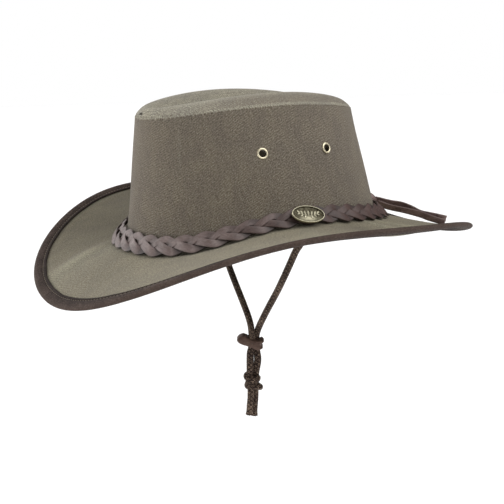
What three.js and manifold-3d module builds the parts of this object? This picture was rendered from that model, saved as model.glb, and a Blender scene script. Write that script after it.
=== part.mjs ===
// A canvas bush hat with a creased crown, a bound brim, a plaited leather band and a chin cord.
// Millimetres, +Z up. The origin is the middle of the head opening at the height of the brim seam.
// The front of the hat is -Y and the wearer's left side is +X. Angles go round from the front.
import * as THREE from 'three';
import { mergeVertices } from 'three/addons/utils/BufferGeometryUtils.js';
import Module from 'manifold-3d';

const wasm = await Module();
wasm.setup();

// Driving sizes
const HEAD_LENGTH = 204;        // inside of the crown at the seam, front to back
const HEAD_WIDTH = 164;         // inside of the crown at the seam, side to side
const CANVAS = 2;               // wall of the crown and the brim
const EDGE_CANVAS = 1.2;        // the brim, pressed thin inside its binding
const GAP = 0.3;                // clearance between pieces that touch
const CROWN_HEIGHT = 88;        // mean height of the crown's top edge
const CROWN_TOP_LENGTH = 180;   // outside of the crown at its top edge
const CROWN_TOP_WIDTH = 121.5;
const CROWN_TOP_FORWARD = 7;    // how far the top edge sits ahead of the head opening
const CROWN_WAIST = 0.7;        // how far the wall is drawn in at half its height
const RIDGE_LENGTH = 168;       // loop of the two ridges beside the dent
const RIDGE_WIDTH = 78;
const DENT_LENGTH = 146;        // floor of the dent
const DENT_FLOOR_WIDTH = 10;
const DENT_DEPTH = 24;          // below the ridges, at the middle of the crown
const DENT_END_DEPTH = 5;       // below the ridges, at the dent's two ends
const BRIM_WIDTH = 73;          // along the slope, from the seam to the edge
const BINDING_WIDTH = 9;
const BINDING_WALL = 1.1;
const BINDING_EASE = 0.45;      // clearance between the binding and the twisted brim in it
const BAND_WIDTH = 16.5;        // plaited band, across the plait at the front
const BAND_THICKNESS = 3.8;
const PLAIT_PERIODS = 13;       // turns of each strand round the hat
const PLAIT_START = 9;          // degrees by which the first strand's turn lags at the front
const PLAIT_SWING = 0.27;       // of a strand's middle, and half its width, as shares of the band
const STRAND_HALF = 0.25;
const PLAIT_FACE = { floor: 0.42, middle: 0.66, over: 0.2, crown: 0.14 };    // heights of the relief
const EYELET_HOLE = 5;
const EYELET_FLANGE = 8.4;
const EYELET_RIM = 0.8;
const EYELET_HEIGHT = 0.618;    // share of the crown wall's height
const EYELET_MIDDLE = 89.5;     // degrees from the front to the middle of each pair
const EYELET_SPREAD = 16.9;     // degrees either side of that middle
const EYELET_CUT = 12;          // length of the cut for an eyelet, which passes right through the wall
const BADGE_LENGTH = 25.8;
const BADGE_HEIGHT = 13.5;
const BADGE_THICKNESS = 2.4;
const BADGE_RIM = 1.3;
const BADGE_ANGLE = 85.6;
const BADGE_LIFT = -1;
const BADGE_TURN = 12;          // degrees by which its back end hangs lower than the band's line
const KNOT_SIZE = { width: 17, depth: 8, height: 13 };    // where the band's ends are tied
const TAIL_WIDTH = 6;
const TAIL_THICKNESS = 1.6;
const CORD_DIAMETER = 5;
const TAB_WIDTH = 12;
const TAB_HEIGHT = 15;
const TAB_THICKNESS = 3;
const TOGGLE_DEPTH = 12.4;      // from face to face, with both strands between them
const CORD_KNOT_DIAMETER = 14.4;
const CORD_KNOT_HEIGHT = 15;
const CORD_KNOT_CLEAR = 0.7;    // between the knot's flat ends and the cut faces of the strands
const COLUMNS = 56;             // facets round the crown and brim
const PLAIT_STEPS = 9;          // facets to each turn of a strand

// Half sections every 30 degrees from the front, round one side, to the back.
// seam, top and ridge are heights as shares of CROWN_HEIGHT; rise (edge above seam) and
// bow (sag between seam and edge) are shares of BRIM_WIDTH; foot (where the band's lower
// edge stands, out from the seam) and band (its width) are shares of BAND_WIDTH.
const SECTIONS = [
  { seam: -0.140, rise: -0.473, bow: -0.027, top: 0.935, ridge: 1.017, foot: 0.50, band: 0.96 },
  { seam: -0.137, rise: -0.227, bow: -0.011, top: 0.964, ridge: 1.043, foot: 0.54, band: 0.92 },
  { seam: -0.003, rise: 0.055, bow: 0.038, top: 1.022, ridge: 1.102, foot: 0.28, band: 0.70 },
  { seam: 0.097, rise: 0.061, bow: 0.089, top: 1.056, ridge: 1.143, foot: 0.28, band: 0.74 },
  { seam: 0.055, rise: 0.038, bow: 0.076, top: 1.039, ridge: 1.125, foot: 0.32, band: 0.74 },
  { seam: -0.010, rise: -0.101, bow: 0.012, top: 0.994, ridge: 1.066, foot: 0.46, band: 0.82 },
  { seam: -0.035, rise: -0.250, bow: -0.022, top: 0.970, ridge: 1.030, foot: 0.52, band: 0.88 },
];

// The chin cord's two strands, chosen points from the tab to the knot. TOGGLE_POINTS are the
// rows of both that run through the toggle and close to it.
const LEFT_CORD_ROUTE = [
  [79.0, -1.0, 2.0], [75.6, -1.0, -2.4], [71.3, -1.0, -6.4], [66.8, -1.0, -11.0], [62.1, -1.0, -16.0],
  [55.3, -1.0, -25.8], [46.6, -1.0, -38.3], [36.6, -0.6, -51.3], [23.4, 0.4, -66.2], [13.9, 1.5, -76.6],
  [4.9, 2.5, -87.2], [1.4, 2.9, -92.0], [-0.3, 2.8, -96.0], [-0.8, 2.7, -101.0], [-0.5, 2.7, -106.0],
  [0.6, 2.8, -111.0], [1.4, 2.9, -115.0], [1.3, 2.8, -119.0], [0.5, 2.6, -123.0], [0.0, 2.3, -126.7],
];
const RIGHT_CORD_ROUTE = [
  [-79.0, -1.0, 2.0], [-75.6, -1.0, -2.4], [-71.3, -1.0, -6.4], [-66.8, -1.0, -11.0], [-62.1, -1.0, -16.0],
  [-48.0, -1.0, -33.8], [-29.2, -1.0, -56.4], [-19.4, -1.1, -67.0], [-11.4, -1.4, -75.3], [-5.5, -1.8, -81.5],
  [-1.0, -2.2, -87.9], [0.4, -2.4, -92.0], [1.0, -2.4, -96.0], [1.1, -2.4, -101.0], [0.5, -2.6, -106.0],
  [-0.6, -2.9, -111.0], [-1.1, -2.7, -115.0], [-1.2, -2.7, -119.0], [-0.9, -2.9, -123.0], [-0.7, -3.1, -126.7],
];
const TOGGLE_POINTS = [10, 17];
// The cord's two free ends, from the middle of the knot's foot down.
const LEFT_END_ROUTE = [[-0.7, 2.6, -0.6], [-0.7, 2.6, -5.6], [-1.0, 2.1, -13.6], [-1.2, 1.7, -22.1]];
const RIGHT_END_ROUTE = [[0.7, -2.7, -0.6], [0.7, -2.7, -5.6], [0.3, -3.2, -12.6], [0.1, -3.6, -20.1]];
// The loose ends of the band's strands. start is on the band's knot, in its own frame, as shares
// of its width, depth and height; each row of route is degrees from the front, then how far out
// and how high above the brim, as shares of the brim's width.
const UPPER_TAIL = {
  start: [-0.07, -0.48, -0.477],
  route: [
    [176.57, 0.359, 0.157], [174.99, 0.467, 0.164], [173.69, 0.583, 0.149],
    [172.53, 0.706, 0.117], [171.27, 0.852, 0.117], [170.16, 1.005, 0.122],
  ],
};
const LOWER_TAIL = {
  start: [-0.229, -0.256, -0.665],
  route: [
    [175.48, 0.351, 0.106], [173.37, 0.52, 0.104], [171.67, 0.694, 0.099],
    [170.46, 0.845, 0.08], [169.48, 0.989, 0.075],
  ],
};

const PALETTE = {
  crown: { color: 0x6e6759, roughness: 0.95, metalness: 0 },
  brim: { color: 0x857e69, roughness: 0.95, metalness: 0 },
  binding: { color: 0x4b403b, roughness: 0.75, metalness: 0 },
  leather: { color: 0x6b5752, roughness: 0.55, metalness: 0 },
  darkLeather: { color: 0x3c302d, roughness: 0.6, metalness: 0 },
  brass: { color: 0x9c9270, roughness: 0.4, metalness: 0.9 },
  cord: { color: 0x3d332e, roughness: 0.85, metalness: 0 },
};

const group = new THREE.Group();
const radians = THREE.MathUtils.degToRad;
const columnAngle = (column, columns) => (column / columns) * 2 * Math.PI;

// Cosine series through the rows of SECTIONS: smooth, and the same on both sides of the hat.
function around(column, angle) {
  const last = SECTIONS.length - 1;
  const half = (index) => (index === 0 || index === last ? 0.5 : 1);
  let sum = 0;
  for (let k = 0; k <= last; k += 1) {
    let weight = 0;
    SECTIONS.forEach((row, index) => {
      weight += half(index) * row[column] * Math.cos((k * index * Math.PI) / last);
    });
    sum += half(k) * (2 / last) * weight * Math.cos(k * angle);
  }
  return sum;
}

function ellipse(angle, length, width, forward, height) {
  return new THREE.Vector3((width / 2) * Math.sin(angle), (-length / 2) * Math.cos(angle) - forward, height);
}

const seamHeight = (angle) => around('seam', angle) * CROWN_HEIGHT;
const topHeight = (angle) => around('top', angle) * CROWN_HEIGHT;
const wallRise = (angle) => topHeight(angle) - seamHeight(angle);

// Outer face of the crown wall: share 0 at the seam, 1 at the top edge; inset goes inwards.
function wallPoint(angle, share, inset) {
  const waist = CROWN_WAIST * 4 * share * (1 - share);
  const outer = (low, high) => low + (high - low) * share - 2 * (inset + waist);
  const length = outer(HEAD_LENGTH + 2 * CANVAS, CROWN_TOP_LENGTH);
  const width = outer(HEAD_WIDTH + 2 * CANVAS, CROWN_TOP_WIDTH);
  const height = seamHeight(angle) + wallRise(angle) * share;
  return ellipse(angle, length, width, CROWN_TOP_FORWARD * share, height);
}

// Horizontal direction away from the crown at the seam.
function outward(angle) {
  return new THREE.Vector3(
    Math.sin(angle) / (HEAD_WIDTH / 2 + CANVAS),
    -Math.cos(angle) / (HEAD_LENGTH / 2 + CANVAS),
    0,
  ).normalize();
}

// Middle of the brim's canvas: share 0 at the seam, 1 at the edge; lift goes along its normal.
function brimPoint(angle, share, lift) {
  const rise = around('rise', angle) * BRIM_WIDTH;
  const bow = around('bow', angle) * BRIM_WIDTH;
  const reach = Math.sqrt(BRIM_WIDTH ** 2 - rise ** 2);
  const slope = (rise - 4 * bow * (1 - 2 * share)) / reach;
  const steep = Math.hypot(1, slope);
  const out = reach * share - (slope * lift) / steep;
  const up = rise * share - 4 * bow * share * (1 - share) + lift / steep;
  const point = wallPoint(angle, 0, 0).addScaledVector(outward(angle), out);
  point.z += up;
  return point;
}

function solidOf(points, triangles) {
  let volume = 0;
  triangles.forEach(([a, b, c]) => {
    volume += points[a].dot(points[b].clone().cross(points[c]));
  });
  const faces = volume > 0 ? triangles : triangles.map(([a, b, c]) => [a, c, b]);
  const geometry = new THREE.BufferGeometry();
  geometry.setAttribute('position', new THREE.Float32BufferAttribute(points.flatMap((p) => p.toArray()), 3));
  geometry.setIndex(faces.flat());
  return geometry;
}

// Closed ring through sections that are closed loops with the same number of points.
function ringOf(sections) {
  const size = sections[0].length;
  const points = sections.flat();
  const triangles = [];
  sections.forEach((_, column) => {
    const here = column * size;
    const there = ((column + 1) % sections.length) * size;
    for (let i = 0; i < size; i += 1) {
      const j = (i + 1) % size;
      triangles.push([here + i, there + i, there + j], [here + i, there + j, here + j]);
    }
  });
  return solidOf(points, triangles);
}

// Closed body through nested rings of points, from one middle point to another.
function nestOf(first, rings, last) {
  const size = rings[0].length;
  const points = [first, ...rings.flat(), last];
  const triangles = [];
  for (let i = 0; i < size; i += 1) {
    const j = (i + 1) % size;
    triangles.push([0, 1 + i, 1 + j]);
    for (let ring = 0; ring < rings.length - 1; ring += 1) {
      const here = 1 + ring * size;
      const there = here + size;
      triangles.push([here + i, there + i, there + j], [here + i, there + j, here + j]);
    }
    const end = 1 + (rings.length - 1) * size;
    triangles.push([points.length - 1, end + j, end + i]);
  }
  return solidOf(points, triangles);
}

function toManifold(geometry) {
  const bare = geometry.clone();
  bare.deleteAttribute('normal');
  bare.deleteAttribute('uv');
  const merged = mergeVertices(bare, 1e-4);
  return new wasm.Manifold(new wasm.Mesh({
    numProp: 3,
    vertProperties: new Float32Array(merged.attributes.position.array),
    triVerts: new Uint32Array(merged.index.array),
  }));
}

function fromManifold(solid) {
  const mesh = solid.getMesh();
  const geometry = new THREE.BufferGeometry();
  geometry.setAttribute('position', new THREE.Float32BufferAttribute(mesh.vertProperties, 3));
  geometry.setIndex(Array.from(mesh.triVerts));
  return geometry;
}

function add(name, geometry, look, place = new THREE.Matrix4()) {
  const material = new THREE.MeshStandardMaterial(PALETTE[look]);
  const mesh = new THREE.Mesh(geometry, material);
  mesh.name = name;
  mesh.applyMatrix4(place);
  group.add(mesh);
}

function columnsOf(count, section) {
  return Array.from({ length: count }, (_, column) => section(columnAngle(column, count)));
}

// Crown wall: stands on the brim's inner margin and carries the top panel.
function wallSection(angle) {
  const low = (CANVAS / 2 + GAP) / wallRise(angle);
  const high = 1 - (CANVAS + GAP) / wallRise(angle);
  const outer = [low, 0.5, high].map((share) => wallPoint(angle, share, 0));
  const inner = [high, 0.5, low].map((share) => wallPoint(angle, share, CANVAS));
  return [...outer, ...inner];
}

// Where an eyelet sits: its middle on the wall's outer face, and a frame with z pointing out.
function eyeletPlace(angle) {
  const middle = wallPoint(angle, EYELET_HEIGHT, 0);
  const step = 0.02;
  const along = wallPoint(angle + step, EYELET_HEIGHT, 0).sub(wallPoint(angle - step, EYELET_HEIGHT, 0));
  const upward = wallPoint(angle, EYELET_HEIGHT + step, 0).sub(wallPoint(angle, EYELET_HEIGHT - step, 0));
  along.normalize();
  const out = along.clone().cross(upward).normalize();
  const place = new THREE.Matrix4().makeBasis(along, out.clone().cross(along), out);
  return place.setPosition(middle);
}

const EYELETS = [
  { name: 'eyelet_left_front', angle: radians(EYELET_MIDDLE - EYELET_SPREAD) },
  { name: 'eyelet_left_back', angle: radians(EYELET_MIDDLE + EYELET_SPREAD) },
  { name: 'eyelet_right_front', angle: radians(360 - EYELET_MIDDLE + EYELET_SPREAD) },
  { name: 'eyelet_right_back', angle: radians(360 - EYELET_MIDDLE - EYELET_SPREAD) },
];
const EYELET_BARREL = EYELET_HOLE / 2 + 0.5;
const EYELET_SIDES = 12;

// Flange, barrel and turned back rim of one eyelet; the crown's canvas is held between them.
function eyeletGeometry() {
  const face = GAP;
  const back = -CANVAS - GAP;
  const hole = EYELET_HOLE / 2;
  const profile = [
    [hole, face + EYELET_RIM], [EYELET_FLANGE / 2 - 0.6, face + EYELET_RIM], [EYELET_FLANGE / 2, face],
    [EYELET_BARREL, face], [EYELET_BARREL, back], [EYELET_FLANGE / 2 - 0.6, back],
    [EYELET_FLANGE / 2 - 0.8, back - EYELET_RIM], [hole, back - EYELET_RIM],
  ].map(([radius, height]) => new THREE.Vector2(radius, height));
  profile.push(profile[0].clone());
  profile.reverse();
  const ring = new THREE.LatheGeometry(profile, EYELET_SIDES);
  ring.rotateX(Math.PI / 2);
  return fromManifold(toManifold(ring));
}

function crownWall() {
  let wall = toManifold(ringOf(columnsOf(COLUMNS, wallSection)));
  EYELETS.forEach(({ angle }) => {
    const drill = new THREE.CylinderGeometry(EYELET_BARREL + GAP, EYELET_BARREL + GAP, EYELET_CUT, EYELET_SIDES);
    drill.rotateX(Math.PI / 2);
    drill.applyMatrix4(eyeletPlace(angle));
    wall = wall.subtract(toManifold(drill));
  });
  return fromManifold(wall);
}

const ridgeHeight = (angle) => around('ridge', angle) * CROWN_HEIGHT;

// Floor of the crown's dent: scale 1 is its outline, 0 its middle; it climbs to both ends.
function dentFloor(angle, scale) {
  const along = scale * Math.cos(angle);
  const middle = ridgeHeight(Math.PI / 2) - DENT_DEPTH;
  const end = ridgeHeight(along > 0 ? 0 : Math.PI) - DENT_END_DEPTH;
  const height = middle + (end - middle) * Math.abs(along) ** 3;
  return ellipse(angle, DENT_LENGTH * scale, DENT_FLOOR_WIDTH * scale, CROWN_TOP_FORWARD, height);
}

// Top panel of the crown: share 0 at its seam, 1 on the ridges, 2 on the dent's floor.
function topSurface(angle, share) {
  const forward = CROWN_TOP_FORWARD;
  const seam = ellipse(angle, CROWN_TOP_LENGTH, CROWN_TOP_WIDTH, forward, topHeight(angle));
  const ridge = ellipse(angle, RIDGE_LENGTH, RIDGE_WIDTH, forward, ridgeHeight(angle));
  const floor = dentFloor(angle, 1);
  if (share < 1) {
    const point = seam.clone().lerp(ridge, share);
    point.z = seam.z + (ridge.z - seam.z) * Math.sin((share * Math.PI) / 2);
    return point;
  }
  const fall = share - 1;
  const point = ridge.clone().lerp(floor, fall);
  point.z = ridge.z + (floor.z - ridge.z) * (0.5 - 0.5 * Math.cos(fall * Math.PI));
  return point;
}

function crownTop() {
  const shares = [0.15, 0.55, 1, 1.35, 1.7, 2];
  const upper = shares.map((share) => columnsOf(COLUMNS, (angle) => topSurface(angle, share)));
  upper.push(columnsOf(COLUMNS, (angle) => dentFloor(angle, 0.6)));
  const lower = upper.map((ring) => ring.map((point) => new THREE.Vector3(point.x, point.y, point.z - CANVAS)));
  const corner = columnsOf(COLUMNS, (angle) => topSurface(angle, 0));
  corner.forEach((point) => { point.z -= CANVAS / 3; });
  const rimFoot = columnsOf(COLUMNS, (angle) => topSurface(angle, 0));
  rimFoot.forEach((point) => { point.z -= CANVAS; });
  const rimInside = columnsOf(COLUMNS, (angle) => wallPoint(angle, 1, CANVAS));
  rimInside.forEach((point) => { point.z -= CANVAS; });
  const floorUpper = dentFloor(0, 0);
  const floorLower = floorUpper.clone();
  floorLower.z -= CANVAS;
  const rings = [...upper.reverse(), corner, rimFoot, rimInside, ...lower.slice(1)];
  return nestOf(floorUpper, rings, floorLower);
}

// Brim: a bowed ring of canvas with a level margin under the crown wall.
const BRIM_ROWS = [0.3, 0.58, 0.85];    // shares of its width at full thickness
const EDGE_ROWS = [0.875, 1];           // and at the edge's
const bandFoot = (angle) => (around('foot', angle) * BAND_WIDTH) / BRIM_WIDTH;

function brimSection(angle) {
  const half = CANVAS / 2;
  const rows = [
    ...[bandFoot(angle), ...BRIM_ROWS].map((share) => [share, half]),
    ...EDGE_ROWS.map((share) => [share, EDGE_CANVAS / 2]),
  ];
  const margin = [wallPoint(angle, 0, CANVAS), wallPoint(angle, 0, 0)];
  const upper = margin.map((point) => new THREE.Vector3(point.x, point.y, point.z + half));
  const lower = margin.map((point) => new THREE.Vector3(point.x, point.y, point.z - half));
  upper.push(...rows.map(([share, lift]) => brimPoint(angle, share, lift)));
  lower.push(...rows.map(([share, lift]) => brimPoint(angle, share, -lift)));
  return [...upper, ...lower.reverse()];
}

// Binding: a folded strip that wraps the brim's edge, thicker at its rolled outer fold.
function bindingSection(angle) {
  const edge = brimPoint(angle, 1, 0);
  const inner = brimPoint(angle, BRIM_ROWS[2], 0);
  const out = edge.clone().sub(inner).normalize();
  const up = new THREE.Vector3().crossVectors(outward(angle), new THREE.Vector3(0, 0, 1));
  up.cross(out).multiplyScalar(-1).normalize();
  if (up.z < 0) up.negate();
  const slot = EDGE_CANVAS / 2 + BINDING_EASE;
  const skin = slot + BINDING_WALL;
  const fold = GAP + 1.5 * BINDING_WALL;
  const profile = [
    [-BINDING_WIDTH, slot], [-BINDING_WIDTH, skin - 0.1], [-1, skin], [fold - 0.6, 0.68 * skin], [fold, 0],
    [fold - 0.6, -0.68 * skin], [-1, -skin], [-BINDING_WIDTH, -skin + 0.1], [-BINDING_WIDTH, -slot],
    [GAP, -slot], [GAP, slot],
  ];
  return profile.map(([along, lift]) => edge.clone().addScaledVector(out, along).addScaledVector(up, lift));
}

// Band: foot on the brim, head against the crown wall, and the plait's face between them.
function bandFrame(angle) {
  const clear = CANVAS / 2 + GAP;
  const foot = brimPoint(angle, bandFoot(angle), clear);
  const width = around('band', angle) * BAND_WIDTH;
  const reach = around('foot', angle) * BAND_WIDTH;
  const climb = Math.sqrt(width ** 2 - reach ** 2);
  const share = (foot.z + climb - seamHeight(angle)) / wallRise(angle);
  const head = wallPoint(angle, share, -GAP);
  const across = head.clone().sub(foot);
  const along = wallPoint(angle + 0.02, share, 0).sub(wallPoint(angle - 0.02, share, 0));
  const out = along.cross(across).normalize();
  if (out.dot(outward(angle)) < 0) out.negate();
  return { foot, across, out };
}

// Height of the plait's face: the highest of three strands that pass over each other.
function plaitHeight(angle, place) {
  const { floor, middle, over, crown } = PLAIT_FACE;
  let height = floor;
  for (let strand = 0; strand < 3; strand += 1) {
    const phase = PLAIT_PERIODS * angle - radians(PLAIT_START) + (strand * 2 * Math.PI) / 3;
    const off = (place - PLAIT_SWING * Math.sin(phase)) / STRAND_HALF;
    if (Math.abs(off) < 1) {
      height = Math.max(height, middle + over * Math.sin(2 * phase) + crown * Math.sqrt(1 - off * off));
    }
  }
  return height * BAND_THICKNESS;
}

function bandSection(angle) {
  const { foot, across, out } = bandFrame(angle);
  const at = (place, height) => foot.clone().addScaledVector(across, place + 0.5).addScaledVector(out, height);
  const face = [-0.47, -0.3, -0.1, 0.1, 0.3, 0.47].map((place) => at(place, plaitHeight(angle, place)));
  return [at(-0.5, 0), ...face, at(0.5, 0)];
}

function ovalRing(length, height, sides, lift) {
  return Array.from({ length: sides }, (_, index) => {
    const angle = columnAngle(index, sides);
    return new THREE.Vector3((length / 2) * Math.cos(angle), (height / 2) * Math.sin(angle), lift);
  });
}

// Badge: an oval plate with a raised rim and a slightly domed field.
function badgeGeometry() {
  const sides = 24;
  const field = [BADGE_LENGTH - 2 * BADGE_RIM, BADGE_HEIGHT - 2 * BADGE_RIM];
  const rings = [
    ovalRing(field[0] * 0.5, field[1] * 0.5, sides, BADGE_THICKNESS * 0.78),
    ovalRing(field[0], field[1], sides, BADGE_THICKNESS * 0.6),
    ovalRing(BADGE_LENGTH - 1.4 * BADGE_RIM, BADGE_HEIGHT - 1.4 * BADGE_RIM, sides, BADGE_THICKNESS),
    ovalRing(BADGE_LENGTH - 0.6 * BADGE_RIM, BADGE_HEIGHT - 0.6 * BADGE_RIM, sides, BADGE_THICKNESS),
    ovalRing(BADGE_LENGTH, BADGE_HEIGHT, sides, BADGE_THICKNESS * 0.45),
    ovalRing(BADGE_LENGTH - BADGE_RIM, BADGE_HEIGHT - BADGE_RIM, sides, 0),
  ];
  return nestOf(new THREE.Vector3(0, 0, BADGE_THICKNESS * 0.85), rings, new THREE.Vector3(0, 0, 0));
}

function badgePlace() {
  const angle = radians(BADGE_ANGLE);
  const { foot, across, out } = bandFrame(angle);
  const rise = across.clone().normalize();
  const middle = foot.clone().addScaledVector(across, 0.5).addScaledVector(rise, BADGE_LIFT);
  middle.addScaledVector(out, BAND_THICKNESS + GAP);
  const up = rise.applyAxisAngle(out, -radians(BADGE_TURN));
  return new THREE.Matrix4().makeBasis(up.clone().cross(out), up, out).setPosition(middle);
}

// Rounded lump through oval rings with flat ends, its axis along z.
function lumpGeometry(width, depth, height, sides) {
  const profile = [[0.62, -0.5], [0.92, -0.3], [1, 0], [0.92, 0.3], [0.62, 0.5]];
  const rings = profile.map(([share, lift]) => ovalRing(width * share, depth * share, sides, height * lift));
  return nestOf(new THREE.Vector3(0, 0, -height / 2), rings, new THREE.Vector3(0, 0, height / 2));
}

// Tie of the band's ends: lies on the band's face at the middle of the back.
function bandKnotPlace() {
  const { foot, across, out } = bandFrame(Math.PI);
  const up = across.clone().normalize();
  const middle = foot.clone().addScaledVector(across, 0.5);
  middle.addScaledVector(out, BAND_THICKNESS + GAP + KNOT_SIZE.depth / 2);
  return new THREE.Matrix4().makeBasis(up.clone().cross(out), out.clone().negate(), up).setPosition(middle);
}

const curveThrough = (route) => new THREE.CatmullRomCurve3(route.map((point) => new THREE.Vector3(...point)));

function sweep(section, route, steps) {
  const path = curveThrough(route);
  return new THREE.ExtrudeGeometry(section, { steps, bevelEnabled: false, extrudePath: path });
}

function roundSection(diameter, sides) {
  const corners = Array.from({ length: sides }, (_, index) => {
    const angle = columnAngle(index, sides);
    return new THREE.Vector2((diameter / 2) * Math.cos(angle), (diameter / 2) * Math.sin(angle));
  });
  return new THREE.Shape(corners);
}

// Flat strip from the band's knot out over the back of the brim, cut square at both ends.
function tailGeometry({ start, route }) {
  const [across, out, up] = start;
  const onKnot = new THREE.Vector3(across * KNOT_SIZE.width, out * KNOT_SIZE.depth, up * KNOT_SIZE.height);
  const overBrim = route.map(([angle, share, lift]) => brimPoint(radians(angle), share, lift * BRIM_WIDTH));
  const path = new THREE.CatmullRomCurve3([onKnot.applyMatrix4(bandKnotPlace()), ...overBrim]);
  const steps = 10;
  const rings = Array.from({ length: steps + 1 }, (_, step) => {
    const share = step / steps;
    const middle = path.getPointAt(share);
    const side = new THREE.Vector3(0, 0, 1).applyAxisAngle(new THREE.Vector3(0, 1, 0), 0.5);
    const tangent = path.getTangentAt(share);
    side.addScaledVector(tangent, -side.dot(tangent)).normalize();
    const thin = tangent.clone().cross(side);
    const corner = (a, b) => middle.clone()
      .addScaledVector(side, (a * TAIL_WIDTH) / 2)
      .addScaledVector(thin, (b * TAIL_THICKNESS) / 2);
    return [corner(-1, -1), corner(1, -1), corner(1, 1), corner(-1, 1)];
  });
  return nestOf(path.getPointAt(0), rings, path.getPointAt(1));
}

// Toggle: a leather slide with a round end and a notched end; both strands pass through it.
const TOGGLE_TURN = radians(58.8);
const TOGGLE_MIDDLE = new THREE.Vector3(0.1, 0.1, -102.2);
const TOGGLE_TILT = radians(-9);
const TOGGLE_OUTLINE = [
  [-14.0, 1.1], [-13.2, 3.0], [-9.4, 5.4], [-4.4, 4.2], [2.8, 3.6], [7.0, 3.8], [7.8, 3.2], [6.9, 2.4],
  [5.6, 0.6], [7.6, -1.6], [7.5, -2.5], [4.5, -4.8], [3.0, -4.8], [-4.4, -2.8], [-11.9, -1.2],
];

function toggleGeometry() {
  const outline = new THREE.Shape(TOGGLE_OUTLINE.map((corner) => new THREE.Vector2(...corner)));
  const body = new THREE.ExtrudeGeometry(outline, { depth: TOGGLE_DEPTH, bevelEnabled: false });
  body.translate(0, 0, -TOGGLE_DEPTH / 2);
  body.rotateZ(TOGGLE_TILT);
  body.rotateX(Math.PI / 2);
  body.rotateZ(TOGGLE_TURN);
  body.translate(...TOGGLE_MIDDLE.toArray());
  let toggle = toManifold(body);
  [LEFT_CORD_ROUTE, RIGHT_CORD_ROUTE].forEach((route) => {
    const tunnel = sweep(roundSection(CORD_DIAMETER + 2 * GAP, 10), route.slice(...TOGGLE_POINTS), 16);
    toggle = toggle.subtract(toManifold(tunnel));
  });
  return fromManifold(toggle);
}

// The knot hangs right under the last points of the two strands.
function cordKnotMiddle() {
  const left = new THREE.Vector3(...LEFT_CORD_ROUTE[LEFT_CORD_ROUTE.length - 1]);
  const right = new THREE.Vector3(...RIGHT_CORD_ROUTE[RIGHT_CORD_ROUTE.length - 1]);
  const middle = left.add(right).multiplyScalar(0.5);
  middle.z -= CORD_KNOT_CLEAR + CORD_KNOT_HEIGHT / 2;
  return middle;
}

const ENDS = [
  { name: 'cord_end_left', route: LEFT_END_ROUTE },
  { name: 'cord_end_right', route: RIGHT_END_ROUTE },
];

function endGeometry(route) {
  const foot = cordKnotMiddle();
  foot.z -= CORD_KNOT_HEIGHT / 2;
  return sweep(roundSection(CORD_DIAMETER, 10), route, 6).translate(foot.x, foot.y, foot.z);
}

const TABS = [
  { name: 'strap_tab_left', side: 1 },
  { name: 'strap_tab_right', side: -1 },
];

// Tab: a folded loop of canvas sewn inside the crown, which the chin cord hangs from.
function tabPlace(side) {
  const foot = Math.abs(LEFT_CORD_ROUTE[0][2]) + GAP;
  const angle = side > 0 ? Math.PI / 2 : -Math.PI / 2;
  const low = wallPoint(angle, 0, CANVAS + GAP);
  const high = wallPoint(angle, 0.2, CANVAS + GAP);
  const lean = Math.atan2(side * (low.x - high.x), high.z - low.z);
  const place = new THREE.Matrix4().makeRotationY(-side * lean);
  const middle = low.clone().lerp(high, (foot + TAB_HEIGHT / 2 - low.z) / (high.z - low.z));
  middle.x -= side * (TAB_THICKNESS / 2 + CROWN_WAIST);
  return place.setPosition(middle);
}

add('crown_side', crownWall(), 'crown');
add('crown_top', crownTop(), 'crown');
add('brim', ringOf(columnsOf(COLUMNS, brimSection)), 'brim');
add('brim_binding', ringOf(columnsOf(COLUMNS, bindingSection)), 'binding');
add('hat_band', ringOf(columnsOf(PLAIT_PERIODS * PLAIT_STEPS, bandSection)), 'leather');
add('badge', badgeGeometry(), 'brass', badgePlace());
EYELETS.forEach(({ name, angle }) => add(name, eyeletGeometry(), 'brass', eyeletPlace(angle)));
add('band_knot', lumpGeometry(KNOT_SIZE.width, KNOT_SIZE.depth, KNOT_SIZE.height, 12), 'darkLeather', bandKnotPlace());
add('band_tail_upper', tailGeometry(UPPER_TAIL), 'darkLeather');
add('band_tail_lower', tailGeometry(LOWER_TAIL), 'darkLeather');
TABS.forEach(({ name, side }) => {
  add(name, new THREE.BoxGeometry(TAB_THICKNESS, TAB_WIDTH, TAB_HEIGHT), 'crown', tabPlace(side));
});
add('chin_cord_left', sweep(roundSection(CORD_DIAMETER, 10), LEFT_CORD_ROUTE, 24), 'cord');
add('chin_cord_right', sweep(roundSection(CORD_DIAMETER, 10), RIGHT_CORD_ROUTE, 24), 'cord');
add('cord_toggle', toggleGeometry(), 'leather');
const knot = lumpGeometry(CORD_KNOT_DIAMETER, CORD_KNOT_DIAMETER, CORD_KNOT_HEIGHT, 14);
add('cord_knot', knot, 'cord', new THREE.Matrix4().setPosition(cordKnotMiddle()));
ENDS.forEach(({ name, route }) => add(name, endGeometry(route), 'cord'));

export default group;
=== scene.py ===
import math

import bpy
import numpy as np
from mathutils import Matrix, Vector


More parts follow.
